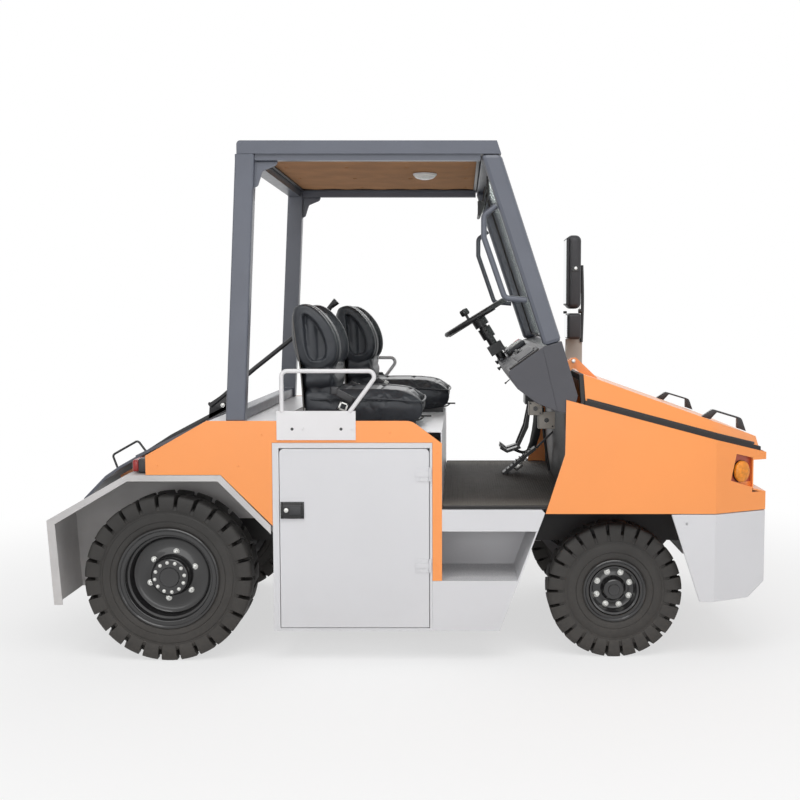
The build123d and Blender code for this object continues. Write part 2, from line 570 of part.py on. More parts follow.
with BuildPart() as deck_frame:
    # orange slope plates and the bulkhead that carries the deck
    web_foot = RAIL_Z[1] + 0.5
    web_rear, web_front = REAR_AXLE_X - 331, CAB_X[0] - 44
    for side in SIDES.values():
        prism(((x0, SIDE_TOP_Z - 7), (PANEL_REAR_X, 881), (PANEL_REAR_X, 876), (x0, SIDE_TOP_Z - 12)),
              side * (deck_y + 1), side * (HALF_WIDTH - SHEET - SEAT_GAP))
        block((PANEL_REAR_X, PANEL_REAR_X + SHEET), (side * (CAB_INNER_Y + 1), side * (HALF_WIDTH - SHEET - SEAT_GAP)),
              (FENDER_TOP_Z + 1.5, 876))
        prism(((web_rear, web_foot), (web_front, web_foot), (web_front, 1000), (x0, 1000), (x0 - 50, 980),
               (x1 + 18, 835), (x2 + 23, 772), (web_rear, 736)), side * (RAIL_Y[0] + 20), side * (RAIL_Y[0] + 30))
    web_y = RAIL_Y[0] + 20 - SEAT_GAP
    block((x0 - 55, x0 - 50), (-web_y, web_y), (web_foot, 980))
deck_frame.part.label = "deck_frame"
export_step(deck_frame.part, "parts/deck_frame.step")

TAIL_LAMP_Y = HALF_WIDTH - 110
with BuildPart() as tail_lamps:
    for side in SIDES.values():
        block((PANEL_REAR_X - 71, PANEL_REAR_X - SEAT_GAP), (side * (TAIL_LAMP_Y - 60), side * (TAIL_LAMP_Y + 60)), (808, 868))
tail_lamps.part.label = "tail_lamps"
export_step(tail_lamps.part, "parts/tail_lamps.step")

with BuildPart() as grab_loop:
    loop_y = SIDES["right"] * (CAB_INNER_Y - 100)
    bent_tube(((x2 - 40.5, loop_y, 773.1), (x2 - 63, loop_y, 835), (x1 - 60, loop_y, 902),
               (x1 - 23.4, loop_y, 851.6)), 14, 5)
grab_loop.part.label = "grab_loop"
export_step(grab_loop.part, "parts/grab_loop.step")


# ---------------------------------------------------------------- canopy
POST_FOOT_Z = SIDE_TOP_Z - 2
POST_HEAD_Z = ROOF_TOP_Z - ROOF_BEAM - ROOF_LIP
POST_IN_Y = CANOPY_Y - POST_THICK
beam_z = (ROOF_TOP_Z - ROOF_BEAM, ROOF_TOP_Z)
PILLAR_HEAD = (ROOF_X[1] - 66, beam_z[0] - SEAT_GAP)
with BuildPart() as rear_posts:
    for side in SIDES.values():
        prism(((POST_BASE_X, POST_FOOT_Z), (POST_BASE_X + POST_WIDTH, POST_FOOT_Z),
               (POST_TOP_X + POST_WIDTH, POST_HEAD_Z), (POST_TOP_X + POST_WIDTH, beam_z[0] - SEAT_GAP),
               (POST_TOP_X, beam_z[0] - SEAT_GAP), (POST_TOP_X, POST_HEAD_Z)),
              side * CANOPY_Y, side * POST_IN_Y)
        gusset = ((POST_TOP_X + POST_WIDTH - 4, POST_HEAD_Z), (POST_TOP_X + POST_WIDTH + 95, POST_HEAD_Z),
                  (POST_TOP_X + POST_WIDTH + 88, POST_HEAD_Z - 18), (POST_TOP_X + POST_WIDTH + 30, POST_HEAD_Z - 42),
                  (POST_TOP_X + POST_WIDTH + 10, POST_HEAD_Z - 104), (POST_TOP_X + POST_WIDTH - 8, POST_HEAD_Z - 110))
        prism(gusset, side * (POST_IN_Y + 26), side * (POST_IN_Y + 34))
    block((POST_BASE_X + 10, POST_BASE_X + POST_WIDTH - 10), (-POST_IN_Y, POST_IN_Y), (POST_FOOT_Z, POST_FOOT_Z + 46))
rear_posts.part.label = "rear_posts"
export_step(rear_posts.part, "parts/rear_posts.step")

with BuildPart() as roof_frame:
    for side in SIDES.values():
        # each side beam is cut at its front end to the slope of the pillar
        prism(((ROOF_X[0], beam_z[0]), (PILLAR_HEAD[0] + PILLAR_WIDTH_X, beam_z[0]), (ROOF_X[1], beam_z[1]),
               (ROOF_X[0], beam_z[1])), side * CANOPY_Y, side * POST_IN_Y)
        block((POST_TOP_X + POST_WIDTH + SEAT_GAP, ROOF_X[1] - 67),
              (side * (CANOPY_Y - 12), side * (POST_IN_Y + 12)), (POST_HEAD_Z + SEAT_GAP, beam_z[0]))
    block((ROOF_X[0], ROOF_X[0] + 60), (-POST_IN_Y, POST_IN_Y), beam_z)
    member_y = POST_IN_Y - SEAT_GAP
    block((ROOF_X[0], ROOF_X[0] + 60), (-member_y, member_y), (POST_HEAD_Z + SEAT_GAP, beam_z[0]))
    block((ROOF_X[1] - 60, ROOF_X[1]), (-POST_IN_Y, POST_IN_Y), beam_z)
    # sheet and its ribs, let in between the beams
    block((ROOF_X[0] + 60, ROOF_X[1] - 60), (-POST_IN_Y, POST_IN_Y), (ROOF_TOP_Z - 14, ROOF_TOP_Z - 8))
    for station in (-430, -170, 90):
        block((station, station + 40), (-POST_IN_Y, POST_IN_Y), (ROOF_TOP_Z - 34, ROOF_TOP_Z - 14))
    rounded = roof_frame.edges().filter_by(Axis.Y).group_by(Axis.X)[0].group_by(Axis.Z)[-1]
    fillet(rounded, radius=16)
roof_frame.part.label = "roof_frame"
export_step(roof_frame.part, "parts/roof_frame.step")

LINER_Z = ROOF_TOP_Z - 34 - SEAT_GAP
with BuildPart() as roof_liner:
    block((ROOF_X[0] + 64, ROOF_X[1] - 64), (-POST_IN_Y + 4, POST_IN_Y - 4), (LINER_Z - 8, LINER_Z))
roof_liner.part.label = "roof_liner"
export_step(roof_liner.part, "parts/roof_liner.step")

with BuildPart() as dome_lamp:
    upright(45, 0, 58, LINER_Z - 8 - 30, LINER_Z - 8 - SEAT_GAP)
    fillet(dome_lamp.faces().sort_by(Axis.Z)[0].edges(), radius=16)
dome_lamp.part.label = "dome_lamp"
export_step(dome_lamp.part, "parts/dome_lamp.step")

PILLAR_LEAN = (PILLAR_FOOT[0] - PILLAR_HEAD[0]) / (PILLAR_HEAD[1] - PILLAR_FOOT[1])


def pillar_rear(z):
    """X of the front pillar's rear face at a height."""
    return PILLAR_HEAD[0] + PILLAR_LEAN * (PILLAR_HEAD[1] - z)


with BuildPart() as front_pillars:
    for side in SIDES.values():
        prism(((PILLAR_FOOT[0], PILLAR_FOOT[1] + 1), (NOSE_REAR_X - 20.4, 1368.6),
               (PILLAR_HEAD[0] + PILLAR_WIDTH_X, PILLAR_HEAD[1]), PILLAR_HEAD),
              side * CANOPY_Y, side * POST_IN_Y)
front_pillars.part.label = "front_pillars"
export_step(front_pillars.part, "parts/front_pillars.step")

GLASS = 5
GLASS_Y = POST_IN_Y - SEAT_GAP
with BuildPart() as windscreen:
    foot, head = PILLAR_FOOT[1] + 26, PILLAR_HEAD[1] - 1
    prism(((pillar_rear(foot) + 50, foot), (pillar_rear(foot) + 50 + GLASS, foot),
           (pillar_rear(head) + 50 + GLASS, head), (pillar_rear(head) + 50, head)), -GLASS_Y, GLASS_Y)
windscreen.part.label = "windscreen"
export_step(windscreen.part, "parts/windscreen.step")

with BuildPart() as pillar_rails:
    for side in SIDES.values():
        rail_y = side * (POST_IN_Y + 30)
        head_z, foot_z = ROOF_TOP_Z - 263, ROOF_TOP_Z - 654
        bent_tube(((pillar_rear(head_z) - 4.5, rail_y, head_z), (pillar_rear(head_z) - 56, rail_y, head_z - 41),
                   (pillar_rear(head_z) - 56, rail_y, head_z - 131), (pillar_rear(foot_z) - 98, rail_y, foot_z + 8),
                   (pillar_rear(foot_z) - 5.5, rail_y, foot_z)), 26, 12)
pillar_rails.part.label = "pillar_rails"
export_step(pillar_rails.part, "parts/pillar_rails.step")

with BuildPart() as interior_mirror:
    mirror_x = ROOF_X[1] - 57
    mirror_z = ROOF_TOP_Z - 215
    block((mirror_x - 12, mirror_x), (-110, 110), (mirror_z - 33, mirror_z + 33))
    bent_tube(((mirror_x, 0, mirror_z + 6), (mirror_x + 24, 0, mirror_z + 11), (mirror_x + 42, 0, mirror_z + 81),
               (mirror_x + 36, 0, beam_z[0] - 2 * SEAT_GAP)), 10, 5)
interior_mirror.part.label = "interior_mirror"
export_step(interior_mirror.part, "parts/interior_mirror.step")


# ---------------------------------------------------------------- cab console, column, wheel, pedals
with BuildPart() as console:
    prism(CONSOLE, -CONSOLE_Y, CONSOLE_Y)
    with BuildSketch(side_plane(CONSOLE_Y - SHEET)) as hollow:
        with BuildLine():
            Polyline(*CONSOLE, close=True)
        make_face()
        offset(amount=-SHEET, kind=Kind.INTERSECTION)
    extrude(hollow.sketch, amount=2 * (CONSOLE_Y - SHEET), mode=Mode.SUBTRACT)
console.part.label = "dash_console"
export_step(console.part, "parts/dash_console.step")

STEER_AXIS = (-sin(radians(STEER_TILT)), 0, cos(radians(STEER_TILT)))
STEER_POINT = (STEER_CENTRE[0], SEAT_Y, STEER_CENTRE[1])
STEER_PLANE = Plane(origin=STEER_POINT, x_dir=(STEER_AXIS[2], 0, -STEER_AXIS[0]), z_dir=STEER_AXIS)
COLUMN_TOP = -58
with BuildPart() as steering_wheel:
    with BuildSketch(Plane(origin=STEER_PLANE.origin, x_dir=STEER_PLANE.x_dir, z_dir=STEER_PLANE.y_dir)) as grip:
        with Locations((STEER_RADIUS - STEER_GRIP, 0)):
            Circle(STEER_GRIP)
    revolve(grip.sketch, axis=Axis(STEER_POINT, STEER_AXIS))
    with BuildSketch(STEER_PLANE.offset(COLUMN_TOP + 1)) as hub:
        Circle(38)
    extrude(hub.sketch, amount=50)
    with BuildSketch(STEER_PLANE.offset(-18)) as spokes:
        with PolarLocations(90, 3, start_angle=60):
            Rectangle(2 * (90 - 6), 26)
    extrude(spokes.sketch, amount=12)
    with BuildSketch(STEER_PLANE) as knob_stem:
        with Locations(Vector(STEER_RADIUS - STEER_GRIP, 0).rotate(Axis.Z, KNOB_TURN)):
            Circle(7)
    extrude(knob_stem.sketch, amount=50)
    with BuildSketch(STEER_PLANE.offset(36)) as knob:
        with Locations(Vector(STEER_RADIUS - STEER_GRIP, 0).rotate(Axis.Z, KNOB_TURN)):
            Circle(20)
    extrude(knob.sketch, amount=30)
steering_wheel.part.label = "steering_wheel"
export_step(steering_wheel.part, "parts/steering_wheel.step")

COLUMN_LENGTH = 238
with BuildPart() as steering_column:
    with BuildSketch(STEER_PLANE.offset(COLUMN_TOP)) as column:
        Circle(22)
    extrude(column.sketch, amount=-COLUMN_LENGTH)
    with BuildSketch(STEER_PLANE.offset(COLUMN_TOP - 10)) as collar:
        Circle(34)
    extrude(collar.sketch, amount=-60)
    with BuildSketch(STEER_PLANE.offset(COLUMN_TOP - 106)) as switch_box:
        Rectangle(80, 96)
    extrude(switch_box.sketch, amount=-52)
    with BuildSketch(STEER_PLANE.offset(COLUMN_TOP - 30)) as stalks:
        with Locations((0, -75), (0, 75)):
            Rectangle(12, 130)
    extrude(stalks.sketch, amount=-12)
    prism(CONSOLE, -CONSOLE_Y, CONSOLE_Y, mode=Mode.SUBTRACT)
steering_column.part.label = "steering_column"
export_step(steering_column.part, "parts/steering_column.step")

PEDAL_X = NOSE_REAR_X - 120     # behind the bracket that the pedals hang from
PEDAL_Z = 1020                  # its lower edge
with BuildPart() as pedals:
    for pedal_y in (SEAT_Y + 90, SEAT_Y - 40):
        # hanging arm below its bracket under the console, and the pad at its foot
        hang = PEDAL_Z - SEAT_GAP
        prism(((PEDAL_X + 30, hang), (PEDAL_X + 42, hang), (PEDAL_X + 28, 900), (PEDAL_X - 18, 800),
               (PEDAL_X - 33, 806), (PEDAL_X + 7, 905)), pedal_y - 8, pedal_y + 8)
        prism(((PEDAL_X - 18, 806), (PEDAL_X - 10, 794), (PEDAL_X - 83, 770), (PEDAL_X - 119, 790),
               (PEDAL_X - 113, 806), (PEDAL_X - 83, 784)), pedal_y - 32, pedal_y + 32)
    prism(((PEDAL_X + 10, PEDAL_Z), (PEDAL_X + 92, PEDAL_Z), (PEDAL_X + 92, 1070.5), (PEDAL_X + 85, 1071.6),
           (PEDAL_X + 10, 1102.4)), SEAT_Y - 60, SEAT_Y + 110)
    # accelerator plate hinged on the floor, and its rod to the bulkhead
    floor_z = FLOOR_Z + MAT
    prism(((PEDAL_X - 108, floor_z), (PEDAL_X - 92, floor_z), (PEDAL_X + 62, 800), (PEDAL_X + 54, 812),
           (PEDAL_X - 108, floor_z + 8)), SEAT_Y - 170, SEAT_Y - 100)
    prism(((PEDAL_X + 58, 806), (PEDAL_X + 66, 800), (FLOOR_FRONT_X, 880), (FLOOR_FRONT_X, 894)),
          SEAT_Y - 142, SEAT_Y - 128)
pedals.part.label = "pedals"
export_step(pedals.part, "parts/pedals.step")


# ---------------------------------------------------------------- seats and armrests
SEAT_PLACES = ((-SEAT_Y, 0), (SEAT_Y, DRIVER_FORWARD))   # middle, forward shift
CUSHION_LENGTH = 520
CUSHION_BASE_Z = DECK_Z + 40
CUSHION_TOP_Z = DECK_Z + 148
BACK_HEIGHT = 1524
with BuildPart() as seat_cushions:
    for middle, forward in SEAT_PLACES:
        rear = SEAT_REAR_X + forward
        half = SEAT_WIDTH / 2
        prism(((rear + 28.3, CUSHION_BASE_Z), (rear + CUSHION_LENGTH, CUSHION_BASE_Z),
               (rear + CUSHION_LENGTH + 22, CUSHION_BASE_Z + 60), (rear + CUSHION_LENGTH - 10, CUSHION_TOP_Z - 6),
               (rear + 270, CUSHION_TOP_Z), (rear + 28.3, CUSHION_TOP_Z - 22)), middle - half, middle + half)
seat_cushions.part.label = "seat_cushions"
export_step(seat_cushions.part, "parts/seat_cushions.step")

with BuildPart() as seat_backs:
    for middle, forward in SEAT_PLACES:
        rear = SEAT_REAR_X + forward
        half = SEAT_WIDTH / 2
        prism(((rear + 28, CUSHION_BASE_Z + 10), (rear + 28, CUSHION_TOP_Z - 20), (rear + 110, CUSHION_TOP_Z + 4),
               (rear + 172, 1250), (rear + 162, 1330), (rear + 110, 1430), (rear + 20, BACK_HEIGHT - 6),
               (rear - 8, BACK_HEIGHT), (rear - 20, 1480), (rear, CUSHION_BASE_Z + 10)), middle - half, middle + half)
        # the middle of the back is dished between the side bolsters
        prism(((rear + 82, CUSHION_TOP_Z + 8), (rear + 66, 1300), (rear + 24, BACK_HEIGHT - 30),
               (rear + 200, BACK_HEIGHT), (rear + 240, CUSHION_TOP_Z + 8)), middle - half + 95, middle + half - 95,
              mode=Mode.SUBTRACT)
seat_backs.part.label = "seat_backs"
export_step(seat_backs.part, "parts/seat_backs.step")

with BuildPart() as seat_slides:
    for middle, forward in SEAT_PLACES:
        rear = SEAT_REAR_X + forward
        for runner_y in (middle - 150, middle + 150):
            block((rear + 60, rear + CUSHION_LENGTH - 30), (runner_y - 20, runner_y + 20),
                  (DECK_Z + SEAT_GAP, CUSHION_BASE_Z - SEAT_GAP))
        block((rear + 120, rear + 160), (middle - 150, middle + 150), (DECK_Z + SEAT_GAP, DECK_Z + 20))
        block((rear + CUSHION_LENGTH - 31, rear + CUSHION_LENGTH + 30), (middle + 142, middle + 150),
              (DECK_Z + 16, DECK_Z + 24))
seat_slides.part.label = "seat_slides"
export_step(seat_slides.part, "parts/seat_slides.step")

ARMREST_X = (CAB_X[0] + 21, CAB_X[0] + 352)
ARMREST_TOP_Z = 1253
ARMREST_Z = (955, 1077)
RAIL_RADIUS = 9
with BuildPart() as armrests:
    top_z = ARMREST_TOP_Z - RAIL_RADIUS
    for side in SIDES.values():
        plate = (side * (HALF_WIDTH + SEAT_GAP), side * (HALF_WIDTH + SEAT_GAP + 6))
        block(ARMREST_X, plate, ARMREST_Z)
        tube_y = side * (HALF_WIDTH + 3)
        bent_tube(((ARMREST_X[0] + 22, tube_y, ARMREST_Z[1] - 3), (ARMREST_X[0] + 22, tube_y, top_z),
                   (ARMREST_X[1] + 102, tube_y, top_z), (ARMREST_X[1] - 24, tube_y, ARMREST_Z[1] - 3)), 24, RAIL_RADIUS)
armrests.part.label = "armrests"
export_step(armrests.part, "parts/armrests.step")

LEVER_Y = 60
with BuildPart() as release_lever:
    foot_rear, foot_front = (x0 - 180, z0 - 180 * deck_fall), (x0 - 80, z0 - 80 * deck_fall)
    prism(((foot_rear[0], foot_rear[1] + SEAT_GAP), (foot_front[0], foot_front[1] + SEAT_GAP),
           (foot_front[0], foot_front[1] + 9), (foot_rear[0], foot_rear[1] + 9)), LEVER_Y - 40, LEVER_Y + 40)
    prism(((foot_rear[0] + 8, foot_rear[1] + 8), (foot_front[0] - 5, foot_front[1] + 8),
           (x0 - 75, 1080), (x0 - 108, 1086), (x0 - 160, 1050)), LEVER_Y - 6, LEVER_Y + 6)
    across(x0 - 95, 1066, 12, LEVER_Y - 18, LEVER_Y + 18)
    # flat bar down the deck to the coupler
    prism(((foot_front[0], foot_front[1] + SEAT_GAP), (x1, z1 + SEAT_GAP), (x2, z2 + SEAT_GAP), (x2, z2 + 20),
           (x1, z1 + 28), (x0 - 165, z0 - 165 * deck_fall + 43), (foot_front[0], foot_front[1] + 30)),
          LEVER_Y - 6, LEVER_Y + 6)
    bent_tube(((x0 - 160, LEVER_Y, 1032), (x0 - 85, LEVER_Y, 1092), (x0 + 50, LEVER_Y, 1212),
               (x0 + 440, LEVER_Y, 1520)), 60, 9)
    bent_tube(((x0 + 426, LEVER_Y, 1507), (x0 + 445, LEVER_Y, 1524), (x0 + 465, LEVER_Y, 1550)), 20, 17)
release_lever.part.label = "release_lever"
export_step(release_lever.part, "parts/release_lever.step")


# ---------------------------------------------------------------- nose, bumper and lamps
def above_nose(rise):
    """An outline of everything more than a rise above the nose panels' top edge."""
    start, end = NOSE_REAR_X - 200, HALF_LENGTH + 50
    return ((start, nose_top(start) + rise), (end, nose_top(end) + rise), (end, 2 * NOSE_TOP_Z),
            (start, 2 * NOSE_TOP_Z))


NOSE_FOLD = (HALF_WIDTH - NOSE_FRONT_Y) / (NOSE_FRONT_X - NOSE_CORNER_X)


def corner_y(x):
    """|Y| of the folded corner's outer face."""
    return HALF_WIDTH - (x - NOSE_CORNER_X) * NOSE_FOLD


# pocket of a turn lamp in the folded corner: outline, and depth across the machine
POCKET_REAR_X = NOSE_FRONT_X - 171
POCKET = ((POCKET_REAR_X, 777), (POCKET_REAR_X + 26, 890), (NICHE_X - SHEET, 869), (NICHE_X - SHEET, 742))
POCKET_RIM = ((POCKET_REAR_X - 5, 774), (POCKET_REAR_X + 23, 895), (NICHE_X - SHEET, 873), (NICHE_X - SHEET, 738))
POCKET_DEPTH = 20
with BuildPart() as nose_panels:
    slab(nose_plan(), SILL_Z, NOSE_TOP_Z)
    slab(nose_plan(inset=SHEET, rear=NOSE_REAR_X - 20), SILL_Z - 1, NOSE_TOP_Z + 1, mode=Mode.SUBTRACT)
    # lamp niche between the brow and the lower lip
    block((NICHE_X - SHEET, HALF_LENGTH), (-HALF_WIDTH, HALF_WIDTH), (NICHE_Z[0] - 17, NICHE_Z[1]), mode=Mode.SUBTRACT)
    niche_y = corner_y(NICHE_X)
    block((NICHE_X - SHEET, NICHE_X), (-niche_y, niche_y), (NICHE_Z[0] - 1, NICHE_Z[1]))
    slab([(NICHE_X - SHEET, -niche_y), (NOSE_FRONT_X - 1, -NOSE_FRONT_Y), (NOSE_FRONT_X - 1, NOSE_FRONT_Y),
          (NICHE_X - SHEET, niche_y)], NICHE_Z[1], NICHE_Z[1] + SHEET)
    lip = outline(side_plane(NOSE_FRONT_Y - 4), ((NICHE_X - SHEET, NICHE_Z[0]), (NICHE_X, NICHE_Z[0]),
                  (NOSE_FRONT_X - 4, NICHE_Z[0] - 17), (NOSE_FRONT_X - 4, NICHE_Z[0] - 22), (NICHE_X - SHEET, NICHE_Z[0] - 6)))
    extrude(lip, amount=2 * (NOSE_FRONT_Y - 4))
    # side plates reach back below the console
    for side in SIDES.values():
        prism(((NOSE_REAR_X, nose_top(NOSE_REAR_X)), (NOSE_REAR_X - 3, 893), (NOSE_REAR_X - 84, SILL_Z),
               (NOSE_REAR_X + 10, SILL_Z), (NOSE_REAR_X + 10, nose_top(NOSE_REAR_X))),
              side * PANEL_Y[0], side * PANEL_Y[1])
        # walls and floor of the turn lamp's pocket
        inner = side * (corner_y(NICHE_X) - POCKET_DEPTH - SHEET)
        prism(POCKET_RIM, inner, side * (HALF_WIDTH + 1))
        prism(POCKET, inner - side, side * (HALF_WIDTH + 2), mode=Mode.SUBTRACT)
        ends = (POCKET_REAR_X - 4, NICHE_X - SHEET / 2)
        floor = [(x, side * (corner_y(x) - POCKET_DEPTH)) for x in ends]
        slab(floor + [(x, y - side * SHEET) for x, y in reversed(floor)], 740, 893)
    slab(nose_plan(rear=NOSE_REAR_X - 100), SILL_Z - 1, NOSE_TOP_Z + 1, mode=Mode.INTERSECT)
    prism(above_nose(0), -HALF_WIDTH - 1, HALF_WIDTH + 1, mode=Mode.SUBTRACT)
nose_panels.part.label = "nose_panels"
export_step(nose_panels.part, "parts/nose_panels.step")

CORNER_TURN = degrees(atan2(HALF_WIDTH - NOSE_FRONT_Y, NOSE_FRONT_X - NOSE_CORNER_X))
TURN_LAMP = (NOSE_FRONT_X - 124, 815)
with BuildPart() as turn_lamps:
    for side in SIDES.values():
        seat_y = corner_y(TURN_LAMP[0]) - POCKET_DEPTH + SEAT_GAP
        face = Plane(origin=(TURN_LAMP[0], side * seat_y, TURN_LAMP[1]),
                     x_dir=(cos(radians(CORNER_TURN)), -side * sin(radians(CORNER_TURN)), 0),
                     z_dir=(sin(radians(CORNER_TURN)), side * cos(radians(CORNER_TURN)), 0))
        with BuildSketch(face) as lens:
            Ellipse(36, 46)
        extrude(lens.sketch, amount=28)
turn_lamps.part.label = "turn_lamps"
export_step(turn_lamps.part, "parts/turn_lamps.step")

HEAD_LAMP_Y = NOSE_FRONT_Y - 130
LAMP_Z = sum(NICHE_Z) / 2
with BuildPart() as head_lamps:
    for side in SIDES.values():
        front = Plane(origin=(NICHE_X + SEAT_GAP, side * HEAD_LAMP_Y, LAMP_Z), x_dir=(0, 1, 0), z_dir=(1, 0, 0))
        with BuildSketch(front) as bezel:
            RectangleRounded(190, 104, 18)
        extrude(bezel.sketch, amount=14)
head_lamps.part.label = "head_lamps"
export_step(head_lamps.part, "parts/head_lamps.step")

GRILLE_BARS = 8
with BuildPart() as grille:
    grille_y = HEAD_LAMP_Y - 120
    block((NICHE_X + SEAT_GAP, NICHE_X + 12), (-grille_y, grille_y), (NICHE_Z[0] + 6, NICHE_Z[1] - 6))
    for bar in range(GRILLE_BARS):
        bar_y = (bar - (GRILLE_BARS - 1) / 2) * 2 * grille_y / GRILLE_BARS
        block((NICHE_X + 2, NICHE_X + 22), (bar_y - 4, bar_y + 4), (NICHE_Z[0] + 12, NICHE_Z[1] - 12))
grille.part.label = "front_grille"
export_step(grille.part, "parts/front_grille.step")

TOW_POCKET_Z = (400, 520)
TOW_PIN_X = NOSE_FRONT_X - 54
BUMPER_REAR_X = NOSE_FRONT_X - 431    # top of the slanted rear edge
with BuildPart() as bumper:
    slab(nose_plan(rear=BUMPER_REAR_X - 11), BUMPER_Z[0], BUMPER_Z[1])
    slab(nose_plan(inset=BUMPER_SHEET, rear=BUMPER_REAR_X - 21), BUMPER_Z[0] - 1, BUMPER_Z[1] + 1,
         mode=Mode.SUBTRACT)
    # slanted rear edges and the clipped lower front
    prism(((BUMPER_REAR_X - 101, BUMPER_Z[1] + 10), (BUMPER_REAR_X, BUMPER_Z[1] + 10),
           (BUMPER_REAR_X + 128, BUMPER_Z[0] - 2), (BUMPER_REAR_X - 101, BUMPER_Z[0] - 2)),
          -HALF_WIDTH - 1, HALF_WIDTH + 1, mode=Mode.SUBTRACT)
    prism(((NOSE_FRONT_X - 80, BUMPER_Z[0] - 2), (NOSE_FRONT_X + 4, 330), (NOSE_FRONT_X + 4, BUMPER_Z[0] - 2)),
          -HALF_WIDTH - 1, HALF_WIDTH + 1, mode=Mode.SUBTRACT)
    block((NOSE_FRONT_X - 20, NOSE_FRONT_X + 4), (-90, 90), TOW_POCKET_Z, mode=Mode.SUBTRACT)
    # cross plate that bolts to the rails, and the tow pocket
    block((RAIL_X[1] + SEAT_GAP, RAIL_X[1] + 14), (-330, 330), (RAIL_Z[0] - 60, BUMPER_Z[1] - 4))
    for side in SIDES.values():
        block((RAIL_X[1] + 10, NOSE_FRONT_X - 2), (side * 90, side * 102), (TOW_POCKET_Z[0] - 20, TOW_POCKET_Z[1] + 20))
    for foot in (TOW_POCKET_Z[0] - 20, TOW_POCKET_Z[1]):
        block((NOSE_FRONT_X - 132, NOSE_FRONT_X - 2), (-91, 91), (foot, foot + 20))
        upright(TOW_PIN_X, 0, TOW_BORE_RADIUS, foot - 1, foot + 21, mode=Mode.SUBTRACT)
bumper.part.label = "front_bumper"
export_step(bumper.part, "parts/front_bumper.step")


# ---------------------------------------------------------------- hood with its seal, hinges and handles
def hood_edge(x):
    """Half width of the hood's lower edge at a station."""
    return HOOD_EDGE_Y - max(0, x - NOSE_CORNER_X) * NOSE_FOLD


def hood_section(x, inset=0):
    """Cross-section of the hood at a station: wide foot, narrower ridge."""
    share = (x - HOOD_REAR_X) / (HOOD_FRONT_X - HOOD_REAR_X)
    foot = nose_top(x) + HOOD_SEAL + SEAT_GAP
    rise = HOOD_REAR_RISE + (HOOD_FRONT_RISE - HOOD_REAR_RISE) * share - inset
    edge = hood_edge(x) - inset
    ridge = edge - HOOD_BEVEL * (1 - 0.45 * share)
    base = foot - (2 if inset else 0)
    with BuildSketch(Plane.YZ.offset(x)) as section:
        with BuildLine():
            Polyline((-edge, base), (edge, base), (ridge, foot + rise), (-ridge, foot + rise), close=True)
        make_face()
    return section.sketch


with BuildPart() as hood:
    stations = (HOOD_REAR_X, NOSE_CORNER_X, HOOD_FRONT_X)
    loft(sections=[hood_section(x) for x in stations], ruled=True)
    inner_stations = (HOOD_REAR_X + HOOD_SHEET, NOSE_CORNER_X, HOOD_FRONT_X - HOOD_SHEET)
    loft(sections=[hood_section(x, HOOD_SHEET) for x in inner_stations], ruled=True, mode=Mode.SUBTRACT)
    # hinge arms from the rear of the top up to the pivot line
    pivot_x, pivot_z = HOOD_PIVOT
    for side in SIDES.values():
        arm = (side * (HOOD_HINGE_Y - 6), side * (HOOD_HINGE_Y + 6))
        prism(((pivot_x - 14, pivot_z - 12), (pivot_x - 14, pivot_z + 12), (pivot_x + 14, pivot_z + 14),
               (pivot_x + 120, pivot_z - 88), (pivot_x + 35, pivot_z - 56)), *arm)
        across(pivot_x, pivot_z, 8, side * (HOOD_HINGE_Y - 17 + SEAT_GAP), side * (HOOD_HINGE_Y + 17 - SEAT_GAP))
hood.part.label = "hood"
export_step(hood.part, "parts/hood.step")

with BuildPart() as hood_hinges:
    # brackets on the cowl, one each side of every hood arm
    for side in SIDES.values():
        for shift in (-22, 22):
            mid = side * HOOD_HINGE_Y + shift
            prism(((pivot_x - 23, pivot_z - 60), (pivot_x + 10, pivot_z - 14), (pivot_x + 12, pivot_z + 10),
                   (pivot_x - 8, pivot_z + 12), (pivot_x - 39, pivot_z - 10)), mid - 5, mid + 5)
            prism(CONSOLE, mid - 6, mid + 6, mode=Mode.SUBTRACT)
hood_hinges.part.label = "hood_hinges"
export_step(hood_hinges.part, "parts/hood_hinges.step")

